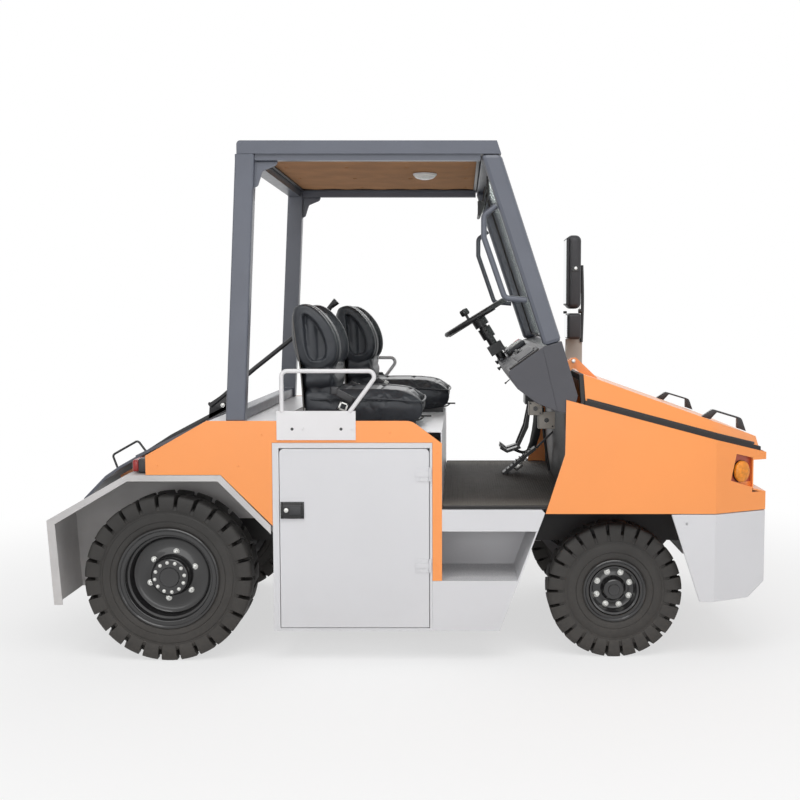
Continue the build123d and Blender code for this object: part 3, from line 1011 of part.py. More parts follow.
with BuildPart() as hood_seal:
    # strip on the panels' top edge, following the nose plan
    seal_out = nose_plan(inset=3, rear=HOOD_REAR_X - 4, front=HOOD_FRONT_X + 12)
    seal_in = nose_plan(inset=30, rear=HOOD_REAR_X - 5, front=HOOD_FRONT_X + 12)
    low, high = nose_top(NOSE_FRONT_X) - 20, nose_top(HOOD_REAR_X) + 2 * HOOD_SEAL
    slab(seal_out, low, high)
    slab(seal_in, low - 1, high + 1, mode=Mode.SUBTRACT)
    start, end = HOOD_REAR_X - 100, NOSE_FRONT_X + 68
    prism(above_nose(HOOD_SEAL), -HALF_WIDTH - 1, HALF_WIDTH + 1, mode=Mode.SUBTRACT)
    prism(((start, nose_top(start) + SEAT_GAP), (end, nose_top(end) + SEAT_GAP), (end, low - 50), (start, low - 50)),
          -HALF_WIDTH - 1, HALF_WIDTH + 1, mode=Mode.SUBTRACT)
    # hoop against the cowl behind the hood
    rear = HOOD_REAR_X - SEAT_GAP
    foot = nose_top(HOOD_REAR_X)
    hoop = ((-HOOD_EDGE_Y, foot + 1), (HOOD_EDGE_Y, foot + 1),
            (HOOD_EDGE_Y - HOOD_BEVEL, foot + HOOD_SEAL + HOOD_REAR_RISE),
            (-HOOD_EDGE_Y + HOOD_BEVEL, foot + HOOD_SEAL + HOOD_REAR_RISE))
    extrude(outline(Plane.YZ.offset(rear - 18), hoop), amount=18)
    opening = ((-HOOD_EDGE_Y + 30, foot - 1), (HOOD_EDGE_Y - 30, foot - 1),
               (HOOD_EDGE_Y - HOOD_BEVEL - 20, foot + HOOD_SEAL + HOOD_REAR_RISE - 24),
               (-HOOD_EDGE_Y + HOOD_BEVEL + 20, foot + HOOD_SEAL + HOOD_REAR_RISE - 24))
    extrude(outline(Plane.YZ.offset(rear - 19), opening), amount=20, mode=Mode.SUBTRACT)
hood_seal.part.label = "hood_seal"
export_step(hood_seal.part, "parts/hood_seal.step")

HANDLE_X = (NOSE_FRONT_X - 232, NOSE_FRONT_X - 108)
with BuildPart() as hood_handles:
    for side in SIDES.values():
        handle_y = side * (HALF_WIDTH - 190)
        points = []
        for x, lift in ((HANDLE_X[0] - 14, -2), (HANDLE_X[0] + 22, 34), (HANDLE_X[1] - 14, 34), (HANDLE_X[1] + 14, -2)):
            share = (x - HOOD_REAR_X) / (HOOD_FRONT_X - HOOD_REAR_X)
            top = nose_top(x) + HOOD_SEAL + HOOD_REAR_RISE + (HOOD_FRONT_RISE - HOOD_REAR_RISE) * share
            points.append((x, handle_y, top + lift + 8.2))
        bent_tube(points, 14, 7)
hood_handles.part.label = "hood_handles"
export_step(hood_handles.part, "parts/hood_handles.step")


# ---------------------------------------------------------------- side mirror on the driver's side
MIRROR_X = (NOSE_REAR_X + 128, NOSE_REAR_X + 208)
with BuildPart() as side_mirror:
    plate_y = (HALF_WIDTH + SEAT_GAP, HALF_WIDTH + SEAT_GAP + 6)
    arm_x = MIRROR_X[1]
    head_y = HALF_WIDTH - 165
    block((MIRROR_X[0] + 7, arm_x + 22), plate_y, (1010, 1345))
    prism(((arm_x, 1330), (arm_x + 24, 1330), (arm_x + 26, 1560), (arm_x + 18, 1765), (arm_x, 1765)),
          HALF_WIDTH - 14, plate_y[1])
    block((MIRROR_X[0], arm_x + 1), (head_y, plate_y[1]), (1345, 1490))
    block((MIRROR_X[0] - 6, arm_x - 8), (head_y, plate_y[1]), (1510, 1908))
    block((arm_x - 8, arm_x + 1), (HALF_WIDTH - 40, plate_y[1]), (1600, 1740))
    edges = side_mirror.edges().filter_by(Axis.Y).group_by(Axis.Z)[-1]
    fillet(edges, radius=24)
side_mirror.part.label = "side_mirror"
export_step(side_mirror.part, "parts/side_mirror.step")
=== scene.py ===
"""Looks for an airport baggage tug: a two-seat tow tractor with a canopy, in metres."""

import math

import bmesh
import bpy
from mathutils import Matrix, Vector


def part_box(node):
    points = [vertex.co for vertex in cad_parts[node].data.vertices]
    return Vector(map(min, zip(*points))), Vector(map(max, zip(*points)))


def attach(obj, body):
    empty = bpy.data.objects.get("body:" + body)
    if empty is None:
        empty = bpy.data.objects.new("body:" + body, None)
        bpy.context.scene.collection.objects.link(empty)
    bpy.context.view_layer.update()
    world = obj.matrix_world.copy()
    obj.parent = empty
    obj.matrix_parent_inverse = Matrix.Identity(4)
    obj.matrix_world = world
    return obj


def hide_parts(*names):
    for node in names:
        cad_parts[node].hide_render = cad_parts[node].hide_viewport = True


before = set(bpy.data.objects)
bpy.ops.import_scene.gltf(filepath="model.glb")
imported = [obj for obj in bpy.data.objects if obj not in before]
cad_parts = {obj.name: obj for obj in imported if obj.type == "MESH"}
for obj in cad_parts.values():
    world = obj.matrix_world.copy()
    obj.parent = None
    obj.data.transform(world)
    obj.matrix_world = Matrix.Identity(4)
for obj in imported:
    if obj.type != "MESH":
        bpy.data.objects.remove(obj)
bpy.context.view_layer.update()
SIDES = {"right": -1, "left": 1}

# ---- Frame rails, gearbox and engine block --------------------------------------------------------
# Two rolled rails carry everything. They and the brackets on them are sprayed satin black and get
# dusty; the engine and gearbox are painted castings.


def wire(tree, kind, sockets=(), **settings):
    """Adds a shader node with its settings; each input is linked to a socket or set to a plain value."""
    step = tree.nodes.new("ShaderNode" + kind)
    for name, value in settings.items():
        setattr(step, name, value)
    for name, value in dict(sockets).items():
        if isinstance(value, bpy.types.NodeSocket):
            tree.links.new(value, step.inputs[name])
        else:
            step.inputs[name].default_value = value
    return step.outputs


def number(tree, how, *values):
    """Works out one number from sockets or plain numbers."""
    return wire(tree, "Math", dict(enumerate(values)), operation=how)["Value"]


def emboss(tree, height, strength, distance, under=None):
    """The normal of a relief with a height, over another relief's."""
    sockets = {"Strength": strength, "Distance": distance, "Height": height}
    if under is not None:
        sockets["Normal"] = under
    return wire(tree, "Bump", sockets)["Normal"]


def sockets_of(material):
    """What a finish's shader takes in."""
    return material.node_tree.nodes["Principled BSDF"].inputs


def overlay(material, share, colour):
    """Lays a second colour over a share of a finish."""
    base = sockets_of(material)["Base Color"]
    both = {"Factor": share, "A": base.links[0].from_socket, "B": [*colour, 1]}
    material.node_tree.links.new(wire(material.node_tree, "Mix", both, data_type="RGBA")["Result"], base)


def lacquer(material, weight, rough=None):
    """A clear coat over a finish."""
    sockets_of(material)["Coat Weight"].default_value = weight
    if rough is not None:
        sockets_of(material)["Coat Roughness"].default_value = rough


def noise_paint(name, colour, rough, drift=0.05, scale=3.0, grain=0.0, grain_scale=900.0, metal=0.0,
                spread=0.08, dust=None, dust_top=0.5, dust_share=0.5):
    """A finish whose colour and gloss drift over the surface, with a fine grain and road dust low down."""
    material = bpy.data.materials.new(name)
    material.use_nodes = True
    tree, look = material.node_tree, sockets_of(material)
    look["Metallic"].default_value = metal
    where = wire(tree, "TexCoord")["Object"]
    clouds = wire(tree, "TexNoise", {"Vector": where, "Scale": scale, "Detail": 5.0})["Fac"]
    tint = wire(tree, "ValToRGB", {"Fac": clouds})["Color"]
    for stop, place, shift in zip(tint.node.color_ramp.elements, (0.3, 0.7), (-drift, drift)):
        stop.position = place
        stop.color = [*(min(1, c * (1 + shift)) for c in colour), 1]
    tree.links.new(tint, look["Base Color"])
    patches = wire(tree, "TexNoise", {"Vector": where, "Scale": scale * 6, "Detail": 4.0})["Fac"]
    gloss = {"Value": patches, "To Min": max(0.02, rough - spread), "To Max": min(1.0, rough + spread)}
    tree.links.new(wire(tree, "MapRange", gloss)["Result"], look["Roughness"])
    if dust:
        height = wire(tree, "SeparateXYZ", {"Vector": where})["Z"]
        fall = {"Value": height, "From Min": 0.0, "From Max": dust_top, "To Min": dust_share, "To Max": 0.0}
        overlay(material, number(tree, "MULTIPLY", wire(tree, "MapRange", fall)["Result"], patches), dust)
    if grain:
        specks = wire(tree, "TexNoise", {"Vector": where, "Scale": grain_scale, "Detail": 2.0})["Fac"]
        tree.links.new(emboss(tree, specks, grain, 0.001), look["Normal"])
    return material


def dress(material, *nodes, ease=0.0):
    """Gives CAD pieces their finish, and rounds their edges by a small amount."""
    for node in nodes:
        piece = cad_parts[node]
        for place in piece.material_slots:
            place.link = "OBJECT"
            place.material = material
        if ease:
            weld = piece.modifiers.new("weld", "WELD")
            weld.merge_threshold = 0.00005
            soft = piece.modifiers.new("ease", "BEVEL")
            soft.width = ease
            soft.segments = 2
            soft.limit_method = "ANGLE"
            soft.angle_limit = math.radians(38)
            soft.harden_normals = False
            even = piece.modifiers.new("even", "WEIGHTED_NORMAL")
            even.keep_sharp = True


ROAD_DUST = (0.33, 0.29, 0.25)
chassis_black = noise_paint("chassis_black", (0.018, 0.018, 0.020), 0.5, 0.2, 8, 0.15, 500,
                            dust=ROAD_DUST, dust_top=0.6, dust_share=0.35)
cast_iron = noise_paint("cast_iron", (0.062, 0.062, 0.068), 0.62, 0.18, 10, 0.5, 260,
                        dust=ROAD_DUST, dust_top=0.6, dust_share=0.4)
dress(chassis_black, "frame_rails")
engine_paint = noise_paint("engine_paint", (0.27, 0.27, 0.28), 0.5, 0.12, 5, 0.2, 600)
dress(engine_paint, "engine_block")


def made(name, shape, material, body, smooth=35):
    """Turns a worked shape into a piece that rides on a body, smooth but for its sharp edges."""
    bmesh.ops.remove_doubles(shape, verts=shape.verts, dist=0.000005)
    mesh = bpy.data.meshes.new(name)
    shape.to_mesh(mesh)
    shape.free()
    mesh.shade_smooth()
    mesh.set_sharp_from_angle(angle=math.radians(smooth))
    piece = bpy.data.objects.new(name, mesh)
    bpy.context.scene.collection.objects.link(piece)
    mesh.materials.append(material)
    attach(piece, body)
    return piece


def ease_edges(shape, edges, width, segments=2):
    """Rounds the edges of a worked shape."""
    bmesh.ops.bevel(shape, geom=list(edges), offset=width, segments=segments, profile=0.5, affect="EDGES",
                    clamp_overlap=True, material=-1)


def face_outwards(shape):
    """Turns all faces of a worked shape outwards."""
    bmesh.ops.recalc_face_normals(shape, faces=shape.faces)


def join(shape, part):
    """Adds a worked part to a worked shape."""
    mesh = bpy.data.meshes.new("part")
    part.to_mesh(mesh)
    part.free()
    shape.from_mesh(mesh)
    bpy.data.meshes.remove(mesh)


def eased_block(shape, low, high, ease=0.0015, segments=2, turn=None):
    """Adds a block between two corners with its edges rounded, turned about its own middle."""
    low, high = Vector(low), Vector(high)
    middle = (low + high) / 2
    place = Matrix.Translation(middle) @ (turn or Matrix.Identity(4)) @ Matrix.Diagonal([*(high - low), 1])
    corners = bmesh.ops.create_cube(shape, size=1, matrix=place)["verts"]
    if ease:
        ease_edges(shape, {edge for corner in corners for edge in corner.link_edges}, ease, segments)


def along(place, direction):
    """The transform that stands something made along Z at a place, along a direction."""
    turn = Vector(direction).normalized().to_track_quat("Z", "Y").to_matrix().to_4x4()
    return Matrix.Translation(Vector(place)) @ turn


def barrel(shape, place, direction, radius, length, top=None, segments=24, ease=0.0):
    """Adds a round or six-sided stud that starts at a place and runs along a direction."""
    put = along(place, direction) @ Matrix.Translation((0, 0, length / 2))
    rim = bmesh.ops.create_cone(shape, cap_ends=True, segments=segments, radius1=radius,
                                radius2=radius if top is None else top, depth=length, matrix=put)["verts"]
    if ease:
        caps = {face for vert in rim for face in vert.link_faces if len(face.verts) == segments}
        ease_edges(shape, {edge for face in caps for edge in face.edges}, ease)


def bolt(shape, place, direction, radius):
    """Adds a washer and a six-sided head."""
    out = Vector(direction).normalized()
    barrel(shape, place, out, radius * 1.25, radius * 0.22, segments=20)
    barrel(shape, Vector(place) + out * radius * 0.22, out, radius, radius * 0.75, segments=6, ease=radius * 0.12)


# ---- Axles and steering knuckles ------------------------------------------------------------------
# The driven rear axle and the steered front beam are castings on leaf springs. Each front wheel
# turns with a knuckle on a kingpin in the yoke at the end of the beam.
dress(cast_iron, "rear_axle", "front_axle", "front_knuckle_left", "front_knuckle_right")
spring_clips = bmesh.new()
for node, reach in (("rear_axle", 0.075), ("front_axle", 0.05)):
    low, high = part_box(node)
    mid_x, rail_z = (low.x + high.x) / 2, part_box("frame_rails")[0].z
    if node == "front_axle":
        rail_z = high.z - 0.055
    for side in (-1, 1):
        for shift_x in (-reach, reach):
            for shift_y in (-0.034, 0.034):
                barrel(spring_clips, (mid_x + shift_x, side * 0.27 + shift_y, rail_z - 0.15), (0, 0, 1), 0.007, 0.13)
made("spring_clips", spring_clips, cast_iron, "chassis")

# ---- Wheels: tyres --------------------------------------------------------------------------------
# Solid black tyres, moulded with deep shoulder lugs, a shallow arrow tread and ringed side walls.
# They are pressed on steel rims and brown with dust.
tyre_rubber = noise_paint("tyre_rubber", (0.021, 0.020, 0.019), 0.66, 0.25, 9, 0.3, 420, spread=0.08,
                          dust=(0.10, 0.085, 0.072), dust_top=0.75, dust_share=0.5)
LUGS = 26


def turned(shape, section, centre, steps, close=True):
    """Spins a section of (y, radius) points round the axle line through a centre."""
    points = [shape.verts.new((centre[0], centre[1] + y, centre[2] + r)) for y, r in section]
    edges = [shape.edges.new(pair) for pair in zip(points, points[1:])]
    if close:
        edges.append(shape.edges.new((points[-1], points[0])))
    bmesh.ops.spin(shape, geom=points + edges, cent=centre, axis=(0, 1, 0), angle=2 * math.pi, steps=steps,
                   use_merge=True)


def tyre(end, name, body):
    """Carcass and lugs of one tyre, inside its CAD piece's box."""
    low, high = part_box(f"{end}_tyre_{name}")
    radius, half = (high.z - low.z) / 2, (high.y - low.y) / 2
    rim_low, rim_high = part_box(f"{end}_rim_{name}")
    over = (rim_high.z - rim_low.z) / 2 + 0.001
    centre = ((low.x + high.x) / 2, (low.y + high.y) / 2, (low.z + high.z) / 2)
    depth = radius - over
    shoulder = over + 0.52 * depth
    seat = over - 0.024
    bead = half - 0.0125
    shape = bmesh.new()
    wall = half - 0.004
    right = [(0.36 * half, radius - 0.006), (0.39 * half, radius - 0.012), (0.42 * half, radius - 0.034),
             (0.9 * half, radius - 0.046), (0.97 * wall, shoulder + 0.014), (wall, shoulder + 0.004),
             (wall - 0.003, shoulder), (wall - 0.003, over + 0.46 * depth), (wall, over + 0.43 * depth),
             (wall + 0.001, over + 0.3 * depth), (wall, over + 0.22 * depth), (wall - 0.002, over + 0.205 * depth),
             (wall, over + 0.19 * depth), (wall - 0.001, over + 0.1 * depth), (wall - 0.004, over + 0.04 * depth),
             (bead, over + 0.001), (bead, seat)]
    section = right + [(-y, r) for y, r in reversed(right)]
    turned(shape, section, centre, LUGS * 5)
    face_outwards(shape)
    pitch = 2 * math.pi / LUGS
    for hand in (-1, 1):
        lug = bmesh.new()
        outline = [(0.03 * half, radius - 0.01), (0.03 * half, radius - 0.0015), (0.5 * half, radius),
                   (0.88 * half, radius), (0.96 * half, radius - 0.008), (half, radius - 0.026),
                   (half, shoulder + 0.012), (half - 0.006, shoulder - 0.002), (half - 0.03, shoulder + 0.01),
                   (0.5 * half, radius - 0.05), (0.4 * half, radius - 0.02)]
        points = [lug.verts.new((centre[0], centre[1] + hand * y, centre[2] + r)) for y, r in outline]
        face = lug.faces.new(points)
        bmesh.ops.spin(lug, geom=[face], cent=centre, axis=(0, 1, 0), angle=pitch * 0.8, steps=3)
        face_outwards(lug)
        start = math.pi / LUGS + pitch * 0.1 + (pitch / 2 if hand > 0 else 0)
        bmesh.ops.rotate(lug, cent=centre, matrix=Matrix.Rotation(start, 3, "Y"), verts=lug.verts)
        for vert in lug.verts:
            inside = max(0, 0.5 * half - hand * (vert.co.y - centre[1]))
            twist = Matrix.Rotation(inside / half * 0.42 * pitch, 3, "Y")
            vert.co = Vector(centre) + twist @ (vert.co - Vector(centre))
        sharp = [edge for edge in lug.edges if len(edge.link_faces) == 2 and edge.calc_face_angle() > 0.5]
        ease_edges(lug, sharp, 0.0016, 1)
        bmesh.ops.spin(lug, geom=list(lug.verts) + list(lug.edges) + list(lug.faces), cent=centre, axis=(0, 1, 0),
                       angle=2 * math.pi * (LUGS - 1) / LUGS, steps=LUGS - 1, use_duplicate=True)
        join(shape, lug)
    piece = made(f"{end}_tyre_moulded_{name}", shape, tyre_rubber, body, 32)
    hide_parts(f"{end}_tyre_{name}")


for name in SIDES:
    for end in ("rear", "front"):
        tyre(end, name, f"{end}_wheel_{name}")

# ---- Wheels: rims, nuts and hubs ------------------------------------------------------------------
# Pressed steel rims in gloss black, with a rolled edge, a stepped barrel and a dished disc. Zinc
# nuts on washers hold each on its hub, whose cap has a ring of small bolts.
rim_black = noise_paint("rim_black", (0.010, 0.010, 0.011), 0.30, 0.15, 3, dust=(0.14, 0.12, 0.10),
                        dust_top=0.7, dust_share=0.06, spread=0.05)
lacquer(rim_black, 0.5)
zinc = noise_paint("zinc", (0.60, 0.60, 0.58), 0.3, 0.12, 60, 0.1, 1500, metal=1.0)
RIMS = {"rear": dict(nuts=6, circle=0.103, disc=0.010, hub=0.080, reach=0.062, bolts=12),
        "front": dict(nuts=8, circle=0.076, disc=0.018, hub=0.046, reach=0.042, bolts=0)}


def rim(end, name, side, body):
    """Rim with its disc and hub cap, then the nuts on it."""
    low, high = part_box(f"{end}_rim_{name}")
    size = RIMS[end]
    tyre_low, tyre_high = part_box(f"{end}_tyre_{name}")
    flange = (high.z - low.z) / 2
    centre = ((low.x + high.x) / 2, (tyre_low.y + tyre_high.y) / 2, (low.z + high.z) / 2)
    lip = (tyre_high.y - tyre_low.y) / 2 - 0.004
    seat = flange - 0.026 if end == "rear" else flange - 0.020
    bore = seat - 0.007
    disc = size["disc"]
    hub, reach = size["hub"], size["reach"]
    drop = 0.022 if end == "rear" else 0.012
    section = [(-lip + 0.014, 0.004), (-lip + 0.014, bore * 0.8), (disc - 0.026, bore * 0.8), (disc - 0.026, bore),
               (-lip + 0.002, bore), (-lip, bore + 0.003), (-lip, flange - 0.003), (-lip + 0.004, flange),
               (-lip + 0.008, flange - 0.004), (-lip + 0.008, seat),
               (lip - 0.008, seat), (lip - 0.008, flange - 0.004),
               (lip - 0.005, flange - 0.0005), (lip - 0.002, flange), (lip, flange - 0.003), (lip, flange - 0.007),
               (lip - 0.004, flange - 0.011), (lip - 0.012, flange - 0.013), (lip - 0.016, bore + 0.004),
               (lip - 0.024, bore), (disc + 0.048, bore - 0.001), (disc + 0.044, bore - 0.009),
               (disc + 0.038, bore - 0.012), (disc + 0.020, bore - 0.014), (disc + 0.008, bore - 0.019),
               (disc + 0.002, bore - drop - 0.006), (disc, bore - drop - 0.014),
               (disc, hub + 0.022), (disc + 0.003, hub + 0.016), (disc + 0.003, hub + 0.010),
               (disc + 0.008, hub + 0.004), (disc + reach - 0.018, hub + 0.003), (disc + reach - 0.014, hub),
               (disc + reach - 0.008, hub - 0.002), (disc + reach - 0.005, hub - 0.006),
               (disc + reach - 0.005, hub * 0.55), (disc + reach, hub * 0.5), (disc + reach - 0.001, 0.004)]
    shape = bmesh.new()
    turned(shape, [(side * y, r) for y, r in section], centre, 96, close=False)
    bmesh.ops.holes_fill(shape, edges=[edge for edge in shape.edges if edge.is_boundary], sides=0)
    face_outwards(shape)
    piece = made(f"{end}_rim_pressed_{name}", shape, rim_black, body, 30)
    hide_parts(f"{end}_rim_{name}")
    out = (0, side, 0)
    fasteners = bmesh.new()
    for count, circle, start, radius, level in (
            (size["nuts"], size["circle"], 20, 0.0105, disc),
            (size["bolts"], hub - 0.016, 8, 0.0062, disc + reach - 0.005)):
        for turn in range(count):
            angle = math.radians(turn * 360 / count + start)
            place = (centre[0] + circle * math.cos(angle), centre[1] + side * level,
                     centre[2] + circle * math.sin(angle))
            bolt(fasteners, place, out, radius)
            if radius > 0.01:
                stud = (place[0], place[1] + side * radius * 0.9, place[2])
                barrel(fasteners, stud, out, 0.0055, 0.011, ease=0.001)
    made(f"{end}_wheel_nuts_{name}", fasteners, zinc, body)


for name, side in SIDES.items():
    for end in ("rear", "front"):
        rim(end, name, side, f"{end}_wheel_{name}")


# ---- Sheet-metal body: fenders, steps, cabinets and floor -------------------------------------------
# Folded and welded sheet, primed and sprayed light grey with a fine orange-peel. The undersides get
# dusty, and the step treads have grit rolled into the paint, near-white so that it also paints top light on them.
GREY = (0.66, 0.66, 0.68)
DUST = (0.42, 0.36, 0.31)
grey_paint = noise_paint("grey_paint", GREY, 0.36, 0.025, 2.0, 0.06, 1100, dust=DUST, dust_top=0.45, dust_share=0.16)
fender_paint = noise_paint("fender_paint", (0.56, 0.55, 0.55), 0.5, 0.09, 5.0, 0.1, 900, dust=DUST, dust_top=0.9,
                           dust_share=0.45)


def grit_with_top_light(name, base, grit):
    """The grey paint with light grit rolled into its flat upper faces; the near-white grit is partly painted top light
    on them.
    """
    material = base.copy()
    material.name = name
    tree = material.node_tree
    specks = wire(tree, "TexVoronoi", {"Vector": wire(tree, "TexCoord")["Object"], "Scale": 260})["Distance"]
    up = wire(tree, "SeparateXYZ", {"Vector": wire(tree, "NewGeometry")["Normal"]})["Z"]
    cover = {"Value": specks, "From Min": 0.12, "From Max": 0.60, "To Min": 0.95, "To Max": 0.0}
    share = number(tree, "MULTIPLY", wire(tree, "MapRange", cover)["Result"], number(tree, "GREATER_THAN", up, 0.9))
    # light grit on upward faces only: real grit, and painted top light on the treads
    overlay(material, share, grit)
    tree.links.new(emboss(tree, share, 0.7, 0.0012), sockets_of(material)["Normal"])
    return material


step_paint = grit_with_top_light("step_paint", grey_paint, (0.96, 0.95, 0.95))
dress(grey_paint, "cabinets", "cabinet_door_left", "cabinet_door_right", "seat_box", ease=0.0022)
dress(step_paint, "side_steps", ease=0.001)
dress(fender_paint, "rear_fenders", ease=0.001)
dress(chassis_black, "floor_plate")

# ---- Cabinet doors: latch, hinge screws -------------------------------------------------------------
# Each door has a black flush paddle latch with a key lock near its rear edge, and two cast hinges
# held by countersunk screws near its front edge.
black_plastic = noise_paint("black_plastic", (0.030, 0.030, 0.033), 0.42, 0.15, 20, 0.35, 700)
gloss_black = noise_paint("gloss_black", (0.010, 0.010, 0.011), 0.22, 0.2, 20, 0.05, 500)
CAB_SIDE = 0.750
LATCH_Z = (0.622, 0.694)
for name, side in SIDES.items():
    low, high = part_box(f"cabinet_door_{name}")
    face = CAB_SIDE * side
    latch = bmesh.new()
    x0, x1 = low.x + 0.004, low.x + 0.103
    skin = face + side * 0.006
    y0, y1 = sorted((skin, skin + side * 0.0035))
    eased_block(latch, (x0, y0, LATCH_Z[0]), (x1, y1, LATCH_Z[1]), 0.003, 3)
    frame_in = skin + side * 0.0036
    for low_x, high_x, low_z, high_z in ((x0 + 0.006, x1 - 0.006, LATCH_Z[0] + 0.006, LATCH_Z[0] + 0.011),
                                         (x0 + 0.006, x1 - 0.006, LATCH_Z[1] - 0.011, LATCH_Z[1] - 0.006),
                                         (x0 + 0.006, x0 + 0.011, LATCH_Z[0] + 0.006, LATCH_Z[1] - 0.006),
                                         (x1 - 0.011, x1 - 0.006, LATCH_Z[0] + 0.006, LATCH_Z[1] - 0.006)):
        y = sorted((frame_in, frame_in + side * 0.0012))
        eased_block(latch, (low_x, y[0], low_z), (high_x, y[1], high_z), 0.0006, 1)
    made(f"door_latch_{name}", latch, gloss_black, f"door_{name}")
    paddle = bmesh.new()
    y = sorted((frame_in, frame_in + side * 0.0022))
    eased_block(paddle, (x0 + 0.038, y[0], LATCH_Z[0] + 0.018), (x1 - 0.014, y[1], LATCH_Z[1] - 0.018), 0.0018, 2)
    made(f"door_paddle_{name}", paddle, black_plastic, f"door_{name}")
    lock = bmesh.new()
    place = (x0 + 0.024, frame_in, (LATCH_Z[0] + LATCH_Z[1]) / 2)
    barrel(lock, place, (0, side, 0), 0.0095, 0.0025, segments=32, ease=0.0006)
    barrel(lock, (place[0], place[1] + side * 0.0024, place[2]), (0, side, 0), 0.0068, 0.0016, segments=32,
           ease=0.0004)
    eased_block(lock, (place[0] - 0.0008, min(frame_in, frame_in + side * 0.0045), place[2] - 0.004),
                (place[0] + 0.0008, max(frame_in, frame_in + side * 0.0045), place[2] + 0.004), 0.0002, 1)
    made(f"door_lock_{name}", lock, zinc, f"door_{name}")
    screws = bmesh.new()
    for height in (0.421, 0.810):
        for shift_x in (-0.044, -0.016):
            for shift_z in (-0.021, 0.021):
                barrel(screws, (high.x + shift_x - 0.001, face + side * 0.0038, height + shift_z), (0, side, 0), 0.0042,
                       0.0012, top=0.0034, segments=16)
    made(f"hinge_screws_{name}", screws, grey_paint, f"door_{name}")

# ---- Orange panels: rear sides, deck slopes and nose ------------------------------------------------
# Folded sheet, sprayed in a soft orange enamel with a low gloss. Small screws hold the side panels.
ORANGE = (0.93, 0.312, 0.070)
# a deeper red-orange for the painted shade inside the lamp pockets
POCKET_PAINTED_SHADE = (0.44, 0.085, 0.040)
orange_paint = noise_paint("orange_paint", ORANGE, 0.38, 0.03, 1.6, 0.05, 1200, dust=(0.75, 0.36, 0.16),
                           dust_top=0.9, dust_share=0.2)
lacquer(orange_paint, 0.45, 0.25)
dress(orange_paint, "side_panels", "deck_frame", "hood", "hood_hinges", ease=0.0014)
NOSE_FOLD, NOSE_TAPER = 1.290, 0.4959      # where each side of the nose folds in, and how much


def fold_in(x):
    """How far a side of the nose stands in from the cab's side at a place along it."""
    return max(0, x - NOSE_FOLD) * NOSE_TAPER


# the lamp pockets in the folded corners are painted a deeper red-orange: painted shade, warmed by orange light bouncing
# inside the pocket
nose_paint = orange_paint.copy()
nose_paint.name = "nose_paint"
tree = nose_paint.node_tree
x, y, z = wire(tree, "SeparateXYZ", {"Vector": wire(tree, "TexCoord")["Object"]})
ahead = number(tree, "MAXIMUM", number(tree, "SUBTRACT", x, NOSE_FOLD), 0)
skin = number(tree, "SUBTRACT", 0.746, number(tree, "MULTIPLY", ahead, NOSE_TAPER))
depth = number(tree, "SUBTRACT", skin, number(tree, "ABSOLUTE", y))
inside = number(tree, "GREATER_THAN", depth, 0)
for socket, low, high in ((x, 1.355, 1.462), (z, 0.765, 0.898), (depth, 0, 0.03)):
    inside = number(tree, "MULTIPLY", inside, number(tree, "GREATER_THAN", socket, low))
    inside = number(tree, "MULTIPLY", inside, number(tree, "LESS_THAN", socket, high))
overlay(nose_paint, inside, POCKET_PAINTED_SHADE)
dress(nose_paint, "nose_panels", ease=0.0014)
panel_screws = bmesh.new()
for side in (-1, 1):
    face = side * CAB_SIDE
    for x, z in ((-0.62, 0.975), (-1.06, 0.845), (-0.72, 0.845), (0.117, 0.90), (0.117, 0.62), (0.117, 0.42),
                 (-0.08, 0.985)):
        barrel(panel_screws, (x, face - side * 0.0005, z), (0, side, 0), 0.0052, 0.0022, top=0.004, segments=16)
made("panel_screws", panel_screws, orange_paint, "chassis")

# ---- Rear deck with its coupler, pin and tail lamps -------------------------------------------------
# A sloping plate in the dark frame paint over the rear axle. Below it a plate carries the towing jaw
# with its drop pin; a release lever with a long rod reaches from there to the seats.
FRAME_GREY = (0.092, 0.101, 0.128)
frame_paint = noise_paint("frame_paint", FRAME_GREY, 0.38, 0.07, 4.0, 0.10, 800)
lacquer(frame_paint, 0.15, 0.2)
satin_black = noise_paint("satin_black", (0.020, 0.020, 0.022), 0.38, 0.2, 14, 0.08, 600)
dress(frame_paint, "rear_deck", ease=0.001)
dress(satin_black, "hitch_coupler", "grab_loop")


def add_rod(shape, points, radius, closed=False, order=3, sides=5):
    """Adds a round rod along a smooth line past a few points."""
    line = bpy.data.curves.new("rod", "CURVE")
    line.dimensions = "3D"
    line.resolution_u = 6
    path = line.splines.new("NURBS")
    path.points.add(len(points) - 1)
    for spot, point in zip(path.points, points):
        spot.co = (*point, 1)
    path.use_cyclic_u = closed
    path.use_endpoint_u = not closed
    path.order_u = order
    line.bevel_depth = radius
    line.bevel_resolution = sides
    line.use_fill_caps = not closed
    holder = bpy.data.objects.new("rod", line)
    mesh = bpy.data.meshes.new_from_object(holder)
    bpy.data.objects.remove(holder)
    bpy.data.curves.remove(line)
    shape.from_mesh(mesh)
    bpy.data.meshes.remove(mesh)


def plate(shape, outline, y0, y1, ease=0.0008):
    """Adds a flat plate cut to an outline of (x, z) points, standing between two side planes."""
    face = shape.faces.new([shape.verts.new((x, y0, z)) for x, z in outline])
    grown = bmesh.ops.extrude_face_region(shape, geom=[face])["geom"]
    moved = [item for item in grown if isinstance(item, bmesh.types.BMVert)]
    bmesh.ops.translate(shape, vec=(0, y1 - y0, 0), verts=moved)
    faces = {near for vert in moved for near in vert.link_faces} | {face}
    bmesh.ops.recalc_face_normals(shape, faces=list(faces))
    if ease:
        ease_edges(shape, {edge for item in faces for edge in item.edges}, ease)


